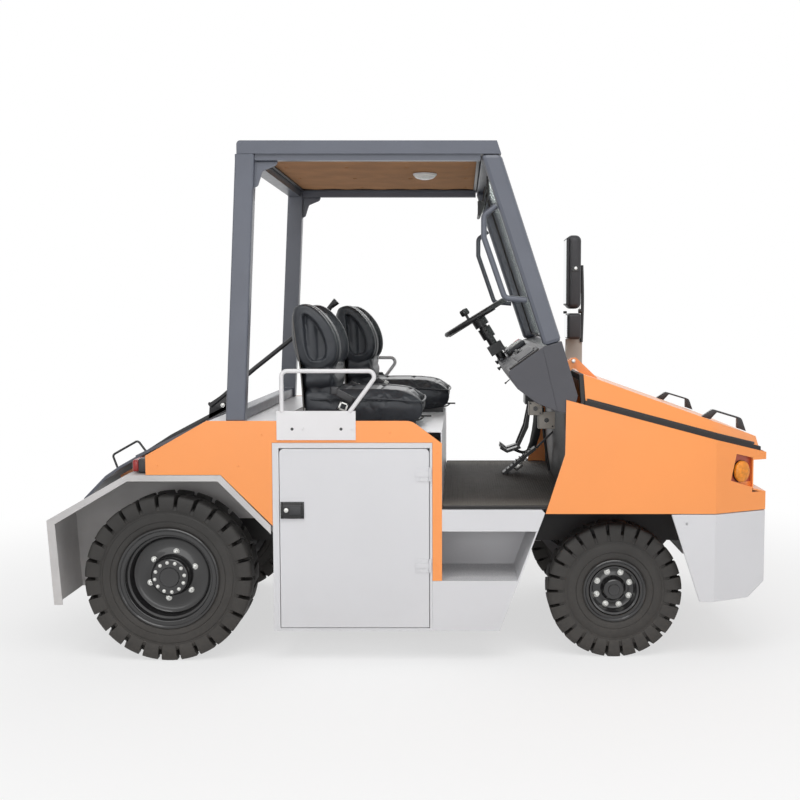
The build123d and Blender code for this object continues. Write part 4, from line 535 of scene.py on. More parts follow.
LEVER_Y = 0.060
lever = bmesh.new()
for outline, half in (
        (((-1.030, 0.9546), (-0.930, 1.0074), (-0.930, 1.016), (-1.030, 0.9636)), 0.040),
        (((-1.022, 0.962), (-0.935, 1.014), (-0.905, 1.072), (-0.925, 1.080), (-0.958, 1.086), (-1.012, 1.050),
          (-1.020, 1.052), (-1.024, 1.042), (-1.016, 1.030)), 0.006),
        (((-0.935, 1.0055), (-1.208, 0.8645), (-1.323, 0.7995), (-1.323, 0.8185), (-1.208, 0.892), (-1.015, 0.9945),
          (-0.935, 1.034)), 0.006)):
    plate(lever, outline, LEVER_Y - half, LEVER_Y + half)
add_rod(lever, [(x, LEVER_Y, z) for x, z in (
    (-1.010, 1.032), (-0.972, 1.062), (-0.935, 1.092), (-0.90, 1.124), (-0.800, 1.212), (-0.74, 1.258), (-0.60, 1.370),
    (-0.420, 1.512))], 0.0115)
barrel(lever, (-0.948, LEVER_Y - 0.018, 1.038), (0, 1, 0), 0.012, 0.036, segments=24, ease=0.001)
barrel(lever, (-0.452, LEVER_Y, 1.4865), (0.066, 0, 0.062), 0.0075, 0.028, top=0.0095, segments=28)
barrel(lever, (-0.4315, LEVER_Y, 1.5058), (0.066, 0, 0.062), 0.0095, 0.060, top=0.0185, segments=32, ease=0.0025)
lever_piece = made("release_lever_rod", lever, satin_black, "chassis")
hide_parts("release_lever")
lever_bolt = bmesh.new()
bolt(lever_bolt, (-0.948, LEVER_Y - 0.018, 1.038), (0, -1, 0), 0.0085)
made("release_lever_bolt", lever_bolt, zinc, "chassis")
dress(zinc, "hitch_pin")
coupler_bolts = bmesh.new()
low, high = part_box("hitch_coupler")
plate_x = high.x - 0.016
for side in (-1, 1):
    for y in (0.09, 0.34):
        for z in (0.31, 0.56):
            bolt(coupler_bolts, (plate_x, side * y, z), (-1, 0, 0), 0.011)
made("coupler_bolts", coupler_bolts, zinc, "chassis")
lens_red = noise_paint("lens_red", (0.30, 0.010, 0.008), 0.22, 0.2, 60, 0.5, 350)
lacquer(lens_red, 0.2)
low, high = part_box("tail_lamps")
for name, side in SIDES.items():
    shell = bmesh.new()
    y0, y1 = sorted((side * 0.580, side * 0.700))
    eased_block(shell, (low.x + 0.026, y0, low.z), (high.x, y1, high.z), 0.006, 3)
    made(f"tail_lamp_shell_{name}", shell, black_plastic, "chassis")
    cover = bmesh.new()
    eased_block(cover, (low.x, y0 + 0.004, low.z + 0.004), (low.x + 0.028, y1 - 0.004, high.z - 0.004), 0.009, 4)
    for count in range(5):
        z = low.z + 0.012 + count * 0.009
        eased_block(cover, (low.x, y0 + 0.014, z), (low.x + 0.004, y1 - 0.014, z + 0.004), 0.0015, 2)
    lens = made(f"tail_lamp_lens_{name}", cover, lens_red, "chassis")
    if name == "right":
        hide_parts("tail_lamps")

# ---- Seats ------------------------------------------------------------------------------------------
# Two bucket seats on runners. Foam is moulded on a pan and covered in black vinyl: each back has a
# recessed middle between looped side wings and a lower roll, and each cushion a crowned top with a
# welted edge and sewn channels.
vinyl = noise_paint("vinyl", (0.024, 0.027, 0.033), 0.48, 0.15, 18, 0.0)
tree, look = vinyl.node_tree, sockets_of(vinyl)
look["Specular IOR Level"].default_value = 0.42
where = wire(tree, "TexCoord")["Object"]
hide = wire(tree, "TexVoronoi", {"Vector": where, "Scale": 420}, feature="DISTANCE_TO_EDGE")["Distance"]
creases = wire(tree, "TexNoise", {"Vector": where, "Scale": 34, "Detail": 3})["Fac"]
tree.links.new(emboss(tree, creases, 0.18, 0.006, emboss(tree, hide, 0.3, 0.0006)), look["Normal"])
lacquer(vinyl, 0.06, 0.25)
dress(satin_black, "seat_slides")
SEATS = {"passenger": (-0.375, 0.0), "driver": (0.375, 0.108)}
SEAT_REAR = -0.470
FOAM_VOXEL = 0.006


def foam(name, shape, smooth_rounds, cap, pressure=4.0):
    """Joins overlapping lumps into one foam body, puffs it under its cover, and gives back its object."""
    face_outwards(shape)
    mesh = bpy.data.meshes.new(name)
    shape.to_mesh(mesh)
    shape.free()
    body = bpy.data.objects.new(name, mesh)
    bpy.context.scene.collection.objects.link(body)
    blocky = body.modifiers.new("join", "REMESH")
    blocky.mode = "VOXEL"
    blocky.voxel_size = FOAM_VOXEL
    settle = body.modifiers.new("settle", "SMOOTH")
    settle.factor = 0.5
    settle.iterations = smooth_rounds
    bake(body)
    before = [vert.co.copy() for vert in body.data.vertices]
    cloth = body.modifiers.new("cover", "CLOTH")
    cloth.settings.quality = 4
    cloth.settings.mass = 0.2
    cloth.settings.use_pressure = True
    cloth.settings.uniform_pressure_force = pressure
    cloth.settings.tension_stiffness = 12
    cloth.settings.compression_stiffness = 12
    cloth.settings.bending_stiffness = 0.5
    cloth.settings.effector_weights.gravity = 0
    cloth.point_cache.frame_start, cloth.point_cache.frame_end = 1, 20
    for step in range(1, 21):
        bpy.context.scene.frame_set(step)
    bake(body)
    bpy.context.scene.frame_set(1)
    for vert, start in zip(body.data.vertices, before):
        moved = vert.co - start
        if moved.length > cap:
            vert.co = start + moved.normalized() * cap
    return body


def bake(piece):
    """Makes a piece's modifiers part of its mesh."""
    shown = piece.evaluated_get(bpy.context.evaluated_depsgraph_get())
    mesh = bpy.data.meshes.new_from_object(shown)
    old = piece.data
    piece.modifiers.clear()
    piece.data = mesh
    bpy.data.meshes.remove(old)


def groove(body, path, width, depth, direction):
    """Presses a sewn channel into a foam body along a line of points."""
    direction = Vector(direction)
    runs = [(Vector(a), Vector(b)) for a, b in zip(path, path[1:])]
    side_only = Vector((1, 1, 1)) - Vector([abs(c) for c in direction])
    for vert in body.data.vertices:
        if vert.normal.dot(direction) > -0.3:
            continue
        nearest = 1e9
        for start, end in runs:
            span = (end - start) * side_only
            gap = (vert.co - start) * side_only
            share = max(0.0, min(1.0, gap.dot(span) / max(span.length_squared, 1e-9)))
            nearest = min(nearest, (gap - span * share).length)
        if nearest < width:
            fall = 0.5 + 0.5 * math.cos(math.pi * nearest / width)
            vert.co += direction * depth * fall


def cushion(name, middle, forward):
    """The crowned seat cushion with its sewn channels, and the welt round its top edge."""
    rear = SEAT_REAR + forward
    half, base, top = 0.238, 1.022, 1.124
    shape = bmesh.new()
    bmesh.ops.create_cube(shape, size=1)
    bmesh.ops.subdivide_edges(shape, edges=shape.edges, cuts=11, use_grid_fill=True)
    for vert in shape.verts:
        u, v, w = (c * 2 for c in vert.co)
        round_in = 1 - 0.05 * max(0, abs(u) - 0.4) ** 2 * 2
        nose_in = 1 - 0.07 * max(0, u) ** 4
        x = rear + 0.010 + (u + 1) / 2 * 0.520
        y = middle + v * half * round_in * nose_in * (1 - 0.05 * max(0, -w))
        crown = 0.012 * (1 - v * v) * (1 - 0.5 * u * u) - 0.020 * max(0, u - 0.3) ** 2 * 2
        bolster = (0.012 + 0.055 * max(0, -u - 0.45)) * math.exp(-((abs(v) - 0.82) / 0.16) ** 2)
        if w > 0:
            z = base + (top - base) * 0.5 + (top - base) * 0.5 * w + (crown + bolster) * w
        else:
            z = base + (top - base) * 0.5 * (1 + w) + 0.014 * max(0, u - 0.2) ** 2 * -w
        vert.co = (x - 0.012 * max(0, u) * abs(w), y, z)
    ease_edges(shape, [edge for edge in shape.edges if edge.calc_face_angle(0) > 0.8], 0.020, 3)
    body = foam(f"seat_cushion_{name}", shape, 8, 0.020, 3.0)
    inner = half * 0.62
    x0, x1, x2 = rear + 0.075, rear + 0.30, rear + 0.455
    for path in (((x0, middle - inner, 0), (x1, middle - inner * 1.05, 0), (x2, middle - inner * 0.8, 0),
                  (x2, middle + inner * 0.8, 0), (x1, middle + inner * 1.05, 0), (x0, middle + inner, 0)),
                 ((rear + 0.19, middle - inner, 0), (rear + 0.19, middle + inner, 0)),
                 ((rear + 0.33, middle - inner, 0), (rear + 0.33, middle + inner, 0))):
        groove(body, path, 0.013, 0.0065, (0, 0, -1))
    finish_pad(body)
    welt = bmesh.new()
    ring = []
    for turn in range(32):
        angle = 2 * math.pi * turn / 32
        u, v = math.cos(angle), math.sin(angle)
        bulge = 1 / max(abs(u), abs(v)) ** 0.88
        u, v = u * bulge * 0.985, v * bulge * 0.985
        x = rear + 0.268 + u * 0.262
        z = 1.112 + 0.006 * (1 - u * u) - 0.012 * max(0, u) ** 2
        ring.append((min(x, rear + 0.526), middle + v * (half + 0.001), z))
    add_rod(welt, ring, 0.0042, closed=True)
    made(f"seat_welt_{name}", welt, vinyl, "chassis", 60)
    handle = bmesh.new()
    y = middle - 0.175
    add_rod(handle, [(rear + 0.36, y, 1.020), (rear + 0.425, y, 1.0205), (rear + 0.49, y, 1.0195),
                     (rear + 0.513, y, 1.021), (rear + 0.526, y, 1.036)], 0.0034)
    made(f"seat_slide_handle_{name}", handle, satin_black, "chassis")
    return body


def finish_pad(body):
    """Smooths and dresses a pad, and sets it on the chassis."""
    body.data.shade_smooth()
    even = body.modifiers.new("even", "SUBSURF")
    even.levels = even.render_levels = 1
    bake(body)
    body.data.shade_smooth()
    body.data.materials.clear()
    body.data.materials.append(vinyl)
    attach(body, "chassis")


def narrow(height):
    """How much of its width a back keeps at a height."""
    return 1 - 0.10 * max(0, (height - 1.42) / 0.08) ** 2


def back(name, middle, forward):
    """The back: middle panel, two wings with a rolled rim round a sunk panel, top roll and lower roll."""
    rear = SEAT_REAR + forward
    shape = bmesh.new()
    spine = ((0.012, 1.10), (0.004, 1.20), (-0.002, 1.34), (-0.008, 1.43), (-0.004, 1.488))
    for y in (-0.18, -0.135, -0.09, -0.045, 0.0, 0.045, 0.09, 0.135, 0.18):
        lean = 0.030 + 0.014 * (y / 0.18) ** 2
        add_rod(shape, [(rear + x + lean, middle + y, z - 0.012 * (y / 0.18) ** 2) for x, z in spine], 0.036)
    loop = ((-0.014, 1.500), (0.015, 1.506), (0.047, 1.490), (0.084, 1.452), (0.113, 1.406), (0.130, 1.358), (0.132, 1.312),
            (0.118, 1.276), (0.086, 1.258), (0.042, 1.258), (0.014, 1.286), (-0.004, 1.345), (-0.013, 1.43))
    for side in (-1, 1):
        for reach, size in ((0.219, 0.022), (0.190, 0.026), (0.160, 0.026)):
            add_rod(shape, [(rear + x, middle + side * reach, z) for x, z in loop], size, closed=True)
        web = bmesh.new()
        edge_in, edge_out = sorted((middle + side * 0.130, middle + side * 0.200))
        plate(web, [(rear + x, z) for x, z in loop], edge_in, edge_out, 0)
        join(shape, web)
        for z in (1.225, 1.195):
            add_rod(shape, [(rear + 0.02, middle + side * 0.205, z), (rear + 0.06, middle + side * 0.207, z),
                            (rear + 0.122, middle + side * 0.198, z + 0.008)], 0.034)
    add_rod(shape, [(rear - 0.012, middle - 0.222, 1.496), (rear - 0.006, middle - 0.11, 1.500),
                    (rear - 0.004, middle, 1.501), (rear - 0.006, middle + 0.11, 1.500),
                    (rear - 0.012, middle + 0.222, 1.496)], 0.024)
    for z, x, size in ((1.205, 0.058, 0.036), (1.190, 0.100, 0.036), (1.175, 0.046, 0.034), (1.238, 0.094, 0.036),
                       (1.150, 0.100, 0.034)):
        add_rod(shape, [(rear + x, middle - 0.205, z), (rear + x + 0.004, middle, z + 0.004),
                        (rear + x, middle + 0.205, z)], size)
    body = foam(f"seat_back_{name}", shape, 5, 0.012, 2.0)
    for z in (1.25, 1.34, 1.43):
        groove(body, ((0, middle - 0.12, z), (0, middle + 0.12, z)), 0.013, 0.006, (-1, 0, 0))
    finish_pad(body)
    shell = bmesh.new()
    line = ((-0.030, 1.505), (-0.040, 1.475), (-0.036, 1.43), (-0.030, 1.38), (-0.020, 1.32), (-0.010, 1.26), (-0.004, 1.20),
            (0.0, 1.14), (0.004, 1.06))
    rows = [[shell.verts.new((rear + x + 0.004 * abs(u) ** 3 - 0.020 * (1 - u * u), middle + u * 0.230 * narrow(z), z))
             for u in (-1, -0.85, -0.6, -0.3, 0, 0.3, 0.6, 0.85, 1)] for x, z in line]
    for upper, lower in zip(rows, rows[1:]):
        for spot in range(8):
            shell.faces.new((upper[spot], upper[spot + 1], lower[spot + 1], lower[spot]))
    bmesh.ops.solidify(shell, geom=list(shell.faces), thickness=-0.004)
    face_outwards(shell)
    made(f"seat_shell_{name}", shell, black_plastic, "chassis", 50)
    piping = bmesh.new()
    for side in (-1, 1):
        add_rod(piping, [(rear + x + 0.005, middle + side * 0.2325 * narrow(z), z) for x, z in line], 0.0030)
    made(f"seat_piping_{name}", piping, piping_trim, "chassis", 60)
    return body


piping_trim = noise_paint("piping", (0.09, 0.085, 0.08), 0.5, 0.1, 20)
for name, (middle, forward) in SEATS.items():
    bottom = cushion(name, middle, forward)
    rest = back(name, middle, forward)
    if name == "passenger":
        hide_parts("seat_cushions")
        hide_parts("seat_backs")

# ---- Seat belts -------------------------------------------------------------------------------------
# A black stalk stands beside each seat, with a bright tongue on the outer belt and a buckle inside.
for name, (middle, forward) in SEATS.items():
    outer = -1 if middle < 0 else 1
    x, y, z = SEAT_REAR + forward + 0.183, middle + outer * 0.251, 1.131
    falling = Matrix.Rotation(math.radians(28), 4, "Y")
    stalk = bmesh.new()
    eased_block(stalk, (x - 0.050, y - 0.008, z - 0.015), (x + 0.046, y + 0.008, z + 0.017), 0.006, 3, falling)
    eased_block(stalk, (x - 0.056, y - 0.010, z + 0.002), (x - 0.022, y + 0.010, z + 0.040), 0.008, 3)
    inner_x, inner_y = SEAT_REAR + forward + 0.205, middle - outer * 0.247
    eased_block(stalk, (inner_x - 0.045, inner_y - 0.007, 1.128), (inner_x + 0.040, inner_y + 0.007, 1.150), 0.005, 3,
                falling)
    made(f"belt_stalk_{name}", stalk, black_plastic, "chassis")
    tongue = bmesh.new()
    for low_x, high_x, low_z, high_z in ((-0.019, 0.019, 0.011, 0.018), (-0.019, 0.019, -0.018, -0.011),
                                         (-0.019, -0.011, -0.018, 0.018), (0.011, 0.019, -0.018, 0.018)):
        turn = Matrix.Rotation(math.radians(22), 3, "Y")
        middle_of = turn @ Vector(((low_x + high_x) / 2, 0, (low_z + high_z) / 2)) + Vector((x - 0.002, y, z - 0.046))
        reach = Vector(((high_x - low_x) / 2, 0.0016, (high_z - low_z) / 2))
        eased_block(tongue, middle_of - reach, middle_of + reach, 0.001, 1, turn.to_4x4())
    eased_block(tongue, (inner_x - 0.006, inner_y - 0.0082, 1.138), (inner_x + 0.014, inner_y + 0.0082, 1.152),
                0.001, 1, falling)
    made(f"belt_tongue_{name}", tongue, zinc, "chassis")

# ---- Armrests ---------------------------------------------------------------------------------------
# Bent steel tube welded on a bolted plate, all sprayed pale silver-grey.
silver_paint = noise_paint("silver_paint", (0.74, 0.73, 0.74), 0.34, 0.02, 4, 0.05, 900)
dress(silver_paint, "armrests", ease=0.0008)
arm_bolts, arm_hole_shade = bmesh.new(), bmesh.new()
# the two holes in each plate are black discs on the face: painted shade in the holes
for side in (-1, 1):
    face = side * 0.7562
    for x in (-0.490, -0.285):
        barrel(arm_hole_shade, (x, face - side * 0.001, 1.001), (0, side, 0), 0.0065, 0.0014, segments=24)
    for x in (-0.444, -0.238):
        bolt(arm_bolts, (x, face, 1.002), (0, side, 0), 0.0055)
made("armrest_bolts", arm_bolts, silver_paint, "chassis")
made("armrest_hole_shade", arm_hole_shade, black_plastic, "chassis")

# ---- Canopy: posts, beams, liner and lamp -----------------------------------------------------------
# Welded box section in the dark frame paint. A tan board liner is held up by trim studs under the
# roof sheet, with a round lamp in the middle.
dress(frame_paint, "rear_posts", "roof_frame", ease=0.009)
dress(frame_paint, "front_pillars", ease=0.016)
dress(frame_paint, "pillar_rails")
liner_cloth = noise_paint("liner_cloth", (0.47, 0.235, 0.106), 0.9, 0.12, 7, 0.0)
tree = liner_cloth.node_tree
wave = {"Vector": wire(tree, "TexCoord")["Object"], "Scale": 55, "Distortion": 0.6}
threads = [wire(tree, "TexWave", wave, bands_direction=way)["Fac"] for way in ("X", "Y")]
tree.links.new(emboss(tree, number(tree, "MULTIPLY", *threads), 0.7, 0.0015), sockets_of(liner_cloth)["Normal"])
low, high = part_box("roof_liner")
board = bmesh.new()
COLUMNS, ROWS = 72, 24
for upper in (False, True):
    grid = []
    for column in range(COLUMNS + 1):
        u = column / COLUMNS
        line = []
        for row in range(ROWS + 1):
            v = row / ROWS
            edge = max(0.0, abs(2 * v - 1) - 0.5) * 2
            sag = 0.0022 * (1 - edge) * (1 - math.cos(6 * math.pi * u)) * 0.5
            sag += 0.0036 * edge ** 2 * (1 - math.cos(11 * math.pi * u)) * 0.5
            z = high.z if upper else low.z + 0.003 - sag
            line.append(board.verts.new((low.x + u * (high.x - low.x), low.y + v * (high.y - low.y), z)))
        grid.append(line)
    for near, far in zip(grid, grid[1:]):
        for row in range(ROWS):
            board.faces.new((near[row], far[row], far[row + 1], near[row + 1]))
bmesh.ops.bridge_loops(board, edges=[edge for edge in board.edges if edge.is_boundary])
face_outwards(board)
liner = made("roof_liner_board", board, liner_cloth, "chassis", 50)
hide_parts("roof_liner")
studs = bmesh.new()
for column in range(4):
    for row in range(4):
        x = low.x + 0.06 + column * (high.x - low.x - 0.12) / 3
        y = low.y + 0.08 + row * (high.y - low.y - 0.16) / 3
        barrel(studs, (x, y, low.z + 0.0025), (0, 0, -1), 0.011, 0.004, top=0.007, segments=20)
made("liner_studs", studs, liner_cloth, "chassis")
trim = bmesh.new()
for x0, y0, x1, y1 in ((low.x, low.y, high.x, low.y + 0.016), (low.x, high.y - 0.016, high.x, high.y),
                       (low.x, low.y, low.x + 0.016, high.y), (high.x - 0.016, low.y, high.x, high.y)):
    eased_block(trim, (x0, y0, low.z - 0.007), (x1, y1, low.z + 0.002), 0.002, 2)
made("liner_trim", trim, satin_black, "chassis")


def bowl(shape, section, centre):
    """Adds a closed bowl turned about the upright through a centre from (radius, height) points."""
    points = [shape.verts.new((centre[0] + r, centre[1], centre[2] + z)) for r, z in section]
    edges = [shape.edges.new(pair) for pair in zip(points, points[1:])]
    bmesh.ops.spin(shape, geom=points + edges, cent=centre, axis=(0, 0, 1), angle=2 * math.pi, steps=48,
                   use_merge=True)
    bmesh.ops.remove_doubles(shape, verts=shape.verts, dist=0.0001)
    bmesh.ops.holes_fill(shape, edges=[edge for edge in shape.edges if edge.is_boundary], sides=0)


lamp_white = noise_paint("lamp_white", (0.86, 0.86, 0.84), 0.28, 0.03, 30, 0.35, 240)
low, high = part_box("dome_lamp")
middle = (low + high) / 2
dome = bmesh.new()
bowl(dome, ((0.0, 0.0005), (0.020, 0.002), (0.040, 0.008), (0.050, 0.016), (0.0515, 0.022)),
     (middle.x, middle.y, low.z))
face_outwards(dome)
lens = made("dome_lamp_lens", dome, lamp_white, "chassis")
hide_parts("dome_lamp")
collar = bmesh.new()
barrel(collar, (middle.x, middle.y, high.z), (0, 0, -1), 0.058, 0.008, top=0.056, segments=48, ease=0.002)
made("dome_lamp_collar", collar, silver_paint, "chassis")

# ---- Windscreen and inside mirror -------------------------------------------------------------------
# One sheet of green-tinted safety glass in a black rubber edge strip, and a small mirror on a stalk.
glass = bpy.data.materials.new("screen_glass")
glass.use_nodes = True
tree, look = glass.node_tree, sockets_of(glass)
look["Transmission Weight"].default_value = 1.0
look["IOR"].default_value = 1.45
haze = wire(tree, "TexNoise", {"Vector": wire(tree, "TexCoord")["Object"], "Scale": 5})["Fac"]
film = wire(tree, "MapRange", {"Value": haze, "To Min": 0.0, "To Max": 0.05})["Result"]
tree.links.new(film, look["Roughness"])
tint = wire(tree, "ValToRGB", {"Fac": haze})["Color"]
for stop, colour in zip(tint.node.color_ramp.elements, ((0.83, 0.93, 0.88, 1), (0.88, 0.95, 0.92, 1))):
    stop.color = colour
tree.links.new(tint, look["Base Color"])
dress(glass, "windscreen")
rubber = noise_paint("rubber", (0.022, 0.020, 0.020), 0.62, 0.2, 12, 0.2, 600)
low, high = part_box("windscreen")
strip = bmesh.new()
foot_x, head_x = high.x - 0.0025, low.x + 0.0025
for side in (-1, 1):
    y = side * (high.y - 0.006)
    add_rod(strip, [(foot_x, y, low.z + 0.004), ((foot_x + head_x) / 2, y, (low.z + high.z) / 2),
                    (head_x, y, high.z - 0.004)], 0.0065, order=2)
for x, z in ((foot_x, low.z + 0.008), (head_x, high.z - 0.010)):
    add_rod(strip, [(x, low.y + 0.006, z), (x, 0, z), (x, high.y - 0.006, z)], 0.0065, order=2)
made("windscreen_strip", strip, rubber, "chassis", 60)
dress(black_plastic, "interior_mirror", ease=0.003)
mirror_glass = noise_paint("mirror_glass", (0.80, 0.82, 0.84), 0.03, 0.02, 3, metal=1.0, spread=0.01)
low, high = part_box("interior_mirror")
mirror_back = bmesh.new()
plate(mirror_back, [(low.x + x, low.z + z) for x, z in (
    (0.0006, 0.0005), (0.0006, 0.0655), (0.010, 0.069), (0.031, 0.060), (0.034, 0.048), (0.014, 0.0015),
    (0.006, -0.0025))], -0.1095, 0.1095, 0.003)
add_rod(mirror_back, [(low.x + x, 0, low.z + z) for x, z in ((0.024, 0.049), (0.033, 0.094), (0.040, 0.144))], 0.006)
made("interior_mirror_back", mirror_back, black_plastic, "chassis")
pane = bmesh.new()
eased_block(pane, (low.x - 0.0008, -0.103, low.z + 0.0075), (low.x + 0.001, 0.103, low.z + 0.0585), 0.0006, 1)
made("interior_mirror_glass", pane, mirror_glass, "chassis")

# ---- Console, steering column and wheel -------------------------------------------------------------
# A folded sheet housing in the frame paint. Its sloped face carries a binnacle with dials, switches
# and a red stop button. The column comes out of it with a switch box, below the plastic wheel.
console_paint = noise_paint("console_paint", (0.060, 0.060, 0.070), 0.5, 0.06, 4, 0.15, 800)
dress(console_paint, "dash_console", ease=0.003)
dress(satin_black, "steering_column")
dress(black_plastic, "steering_wheel")
beige_plate = noise_paint("beige_plate", (0.50, 0.46, 0.41), 0.45, 0.08, 12, 0.1, 600)
red_plastic = noise_paint("red_plastic", (0.55, 0.015, 0.012), 0.3, 0.1, 30, 0.05, 400)
FACE_FOOT = Vector((0.418, 0, 1.242))
FACE_UP = Vector((0.145, 0, 0.104)).normalized()
FACE_OUT = Vector((-FACE_UP.z, 0, FACE_UP.x))
FACE_TURN = Matrix.Rotation(-math.atan2(FACE_UP.z, FACE_UP.x), 4, "Y")


def on_face(up, y, out=0.0):
    """A place on the console's sloped face."""
    return FACE_FOOT + FACE_UP * up + FACE_OUT * out + Vector((0, y, 0))


def face_block(shape, up, y, size, out=0.0, ease=0.002):
    """A block laid on the sloped face: size is up the slope, across, and outwards."""
    middle = on_face(up, y, out + size[2] / 2)
    half = Vector(size) / 2
    eased_block(shape, middle - half, middle + half, ease, 2, FACE_TURN)


binnacle = bmesh.new()
face_block(binnacle, 0.105, 0.375, (0.105, 0.300, 0.026), 0.0, 0.008)
face_block(binnacle, 0.012, 0.375, (0.012, 0.300, 0.012), 0.0, 0.003)
face_block(binnacle, 0.100, -0.330, (0.090, 0.500, 0.004), 0.0, 0.001)
made("binnacle", binnacle, console_paint, "chassis")
slots = bmesh.new()
for side in (-1, 1):
    face_block(slots, 0.082, side * 0.700, (0.150, 0.046, 0.0060), 0.0001, 0.0010)
made("console_slots", slots, rubber, "chassis")
dial_rims, dial_faces, dial_marks = bmesh.new(), bmesh.new(), bmesh.new()
for y, radius in ((0.300, 0.030), (0.372, 0.030), (0.437, 0.022)):
    barrel(dial_rims, on_face(0.105, y, 0.026), FACE_OUT, radius, 0.004, top=radius * 0.95, segments=40, ease=0.001)
    barrel(dial_faces, on_face(0.105, y, 0.0302), FACE_OUT, radius * 0.84, 0.0006, segments=40)
    for tick in range(9):
        spin = Matrix.Rotation(math.radians(-120 + 30 * tick), 4, FACE_OUT)
        place = on_face(0.105, y, 0.0312) + spin @ (FACE_UP * radius * 0.68)
        half = Vector((0.0028, 0.0006, 0.0003))
        eased_block(dial_marks, place - half, place + half, 0, 1, spin @ FACE_TURN)
    place, half = on_face(0.101, y - 0.003, 0.0318), Vector((0.011, 0.0007, 0.0004))
    eased_block(dial_marks, place - half, place + half, 0, 1,
                Matrix.Rotation(math.radians(40), 4, FACE_OUT) @ FACE_TURN)
made("dial_rims", dial_rims, zinc, "chassis")
made("dial_faces", dial_faces, gloss_black, "chassis")
made("dial_marks", dial_marks, lamp_white, "chassis")
switches = bmesh.new()
for y in (-0.10, -0.055, -0.01, 0.035, 0.08):
    face_block(switches, 0.098, y, (0.040, 0.024, 0.006), 0.0, 0.002)
    face_block(switches, 0.092, y, (0.014, 0.018, 0.010), 0.004, 0.002)
for y, length in ((0.560, 0.030), (0.600, 0.022), (0.160, 0.026)):
    barrel(switches, on_face(0.060, y), FACE_OUT, 0.009, length, top=0.011, segments=24, ease=0.002)
face_block(switches, 0.120, -0.30, (0.070, 0.34, 0.003), 0.0, 0.001)
made("switches", switches, black_plastic, "chassis")
stop = bmesh.new()
barrel(stop, on_face(0.135, 0.600, 0.012), FACE_OUT, 0.020, 0.014, segments=32, ease=0.004)
made("stop_button", stop, red_plastic, "chassis")
stop_base = bmesh.new()
barrel(stop_base, on_face(0.135, 0.600), FACE_OUT, 0.012, 0.013, segments=24)
face_block(stop_base, 0.070, 0.660, (0.020, 0.020, 0.030), 0.0, 0.002)
barrel(stop_base, on_face(0.070, 0.660, 0.028), (-0.9, 0, 0.45), 0.004, 0.038, segments=16)
barrel(stop_base, on_face(0.035, 0.690), FACE_OUT, 0.010, 0.016, segments=24, ease=0.002)
made("stop_base", stop_base, zinc, "chassis")
# place at the console's rear edge, radius and reach of each knob
KNOBS = ((0.421, 1.236, 0.55, 0.012, 0.012), (0.430, 1.205, 0.50, 0.010, 0.012), (0.474, 1.140, 0.46, 0.005, 0.026))
knobs = bmesh.new()
for x, z, y, radius, reach in KNOBS:
    barrel(knobs, (x, y, z), (-0.75, 0, -0.66), radius * 0.55, reach, segments=12)
    barrel(knobs, (x - reach * 0.7, y, z - reach * 0.62), (-0.75, 0, -0.66), radius, 0.009, top=radius * 0.95,
           segments=20, ease=0.002)
made("choke_knobs", knobs, black_plastic, "chassis")
# the holes in the relay brackets are flat black discs: painted shade in the holes
brackets, bracket_hole_shade = bmesh.new(), bmesh.new()
for x, z, y, wide in ((0.559, 1.050, -0.30, 0.062), (0.612, 0.994, -0.28, 0.078)):
    half = wide / 2
    eased_block(brackets, (x - half, y - 0.003, z - half), (x + half, y + 0.003, z + half), 0.002, 2)
    eased_block(brackets, (x - half, y - 0.003, z - half), (x - half + 0.005, y + 0.040, z + half), 0.001, 1)
    barrel(bracket_hole_shade, (x, y - 0.0032, z), (0, -1, 0), 0.011, 0.0008, segments=28)
    for out in (-0.36 * wide, 0.36 * wide):
        barrel(bracket_hole_shade, (x + out, y - 0.0032, z - out), (0, -1, 0), 0.004, 0.002, segments=12)
made("relay_brackets", brackets, beige_plate, "chassis")
made("relay_bracket_hole_shade", bracket_hole_shade, gloss_black, "chassis")
crease = bmesh.new()
for side in (-1, 1):
    add_rod(crease, [(0.560, side * 0.7423, 1.336), (0.622, side * 0.7423, 1.076)], 0.0014, order=2, sides=2)
made("console_creases", crease, console_paint, "chassis", 60)
rim_pad = bmesh.new()
STEER = Vector((0.299, 0.375, 1.470))
STEER_UP = Vector((-math.sin(math.radians(31.7)), 0, math.cos(math.radians(31.7))))
barrel(rim_pad, STEER - STEER_UP * 0.007, STEER_UP, 0.034, 0.012, top=0.028, segments=32, ease=0.003)
for turn in range(3):
    spoke = Matrix.Rotation(math.radians(60 + 120 * turn), 4, STEER_UP)
    out = spoke @ Vector((STEER_UP.z, 0, -STEER_UP.x))
    for reach in (0.062, 0.088, 0.114):
        bolt(rim_pad, STEER - STEER_UP * 0.0055 + Vector(out) * reach, STEER_UP, 0.0045)
knob_foot = STEER + Matrix.Rotation(math.radians(256), 3, STEER_UP) @ Vector((STEER_UP.z, 0, -STEER_UP.x)) * 0.179
barrel(rim_pad, knob_foot + STEER_UP * 0.0335, STEER_UP, 0.0235, 0.036, top=0.0225, segments=32, ease=0.010)
made("steering_cap", rim_pad, gloss_black, "steering_wheel_body")

# ---- Pedals and floor mat ---------------------------------------------------------------------------
# Hanging pedals with ribbed rubber pads and an accelerator plate; the ribbed rubber mat lies loose
# on the floor plate and is brown with foot dust.
dress(satin_black, "pedals", ease=0.001)
floor_rubber = noise_paint("floor_rubber", (0.050, 0.043, 0.037), 0.75, 0.16, 4, 0.5, 300)
sockets_of(floor_rubber)["Specular IOR Level"].default_value = 0.2
tree = floor_rubber.node_tree
place = wire(tree, "SeparateXYZ", {"Vector": wire(tree, "TexCoord")["Object"]})
near_edge = {"Value": number(tree, "ABSOLUTE", place["Y"]), "From Min": 0.50, "From Max": 0.745, "To Max": 0.55}
near_edge = wire(tree, "MapRange", near_edge, interpolation_type="SMOOTHSTEP")["Result"]
overlay(floor_rubber, near_edge, (0.24, 0.22, 0.19))
dress(floor_rubber, "floor_mat", ease=0.002)
pads = bmesh.new()
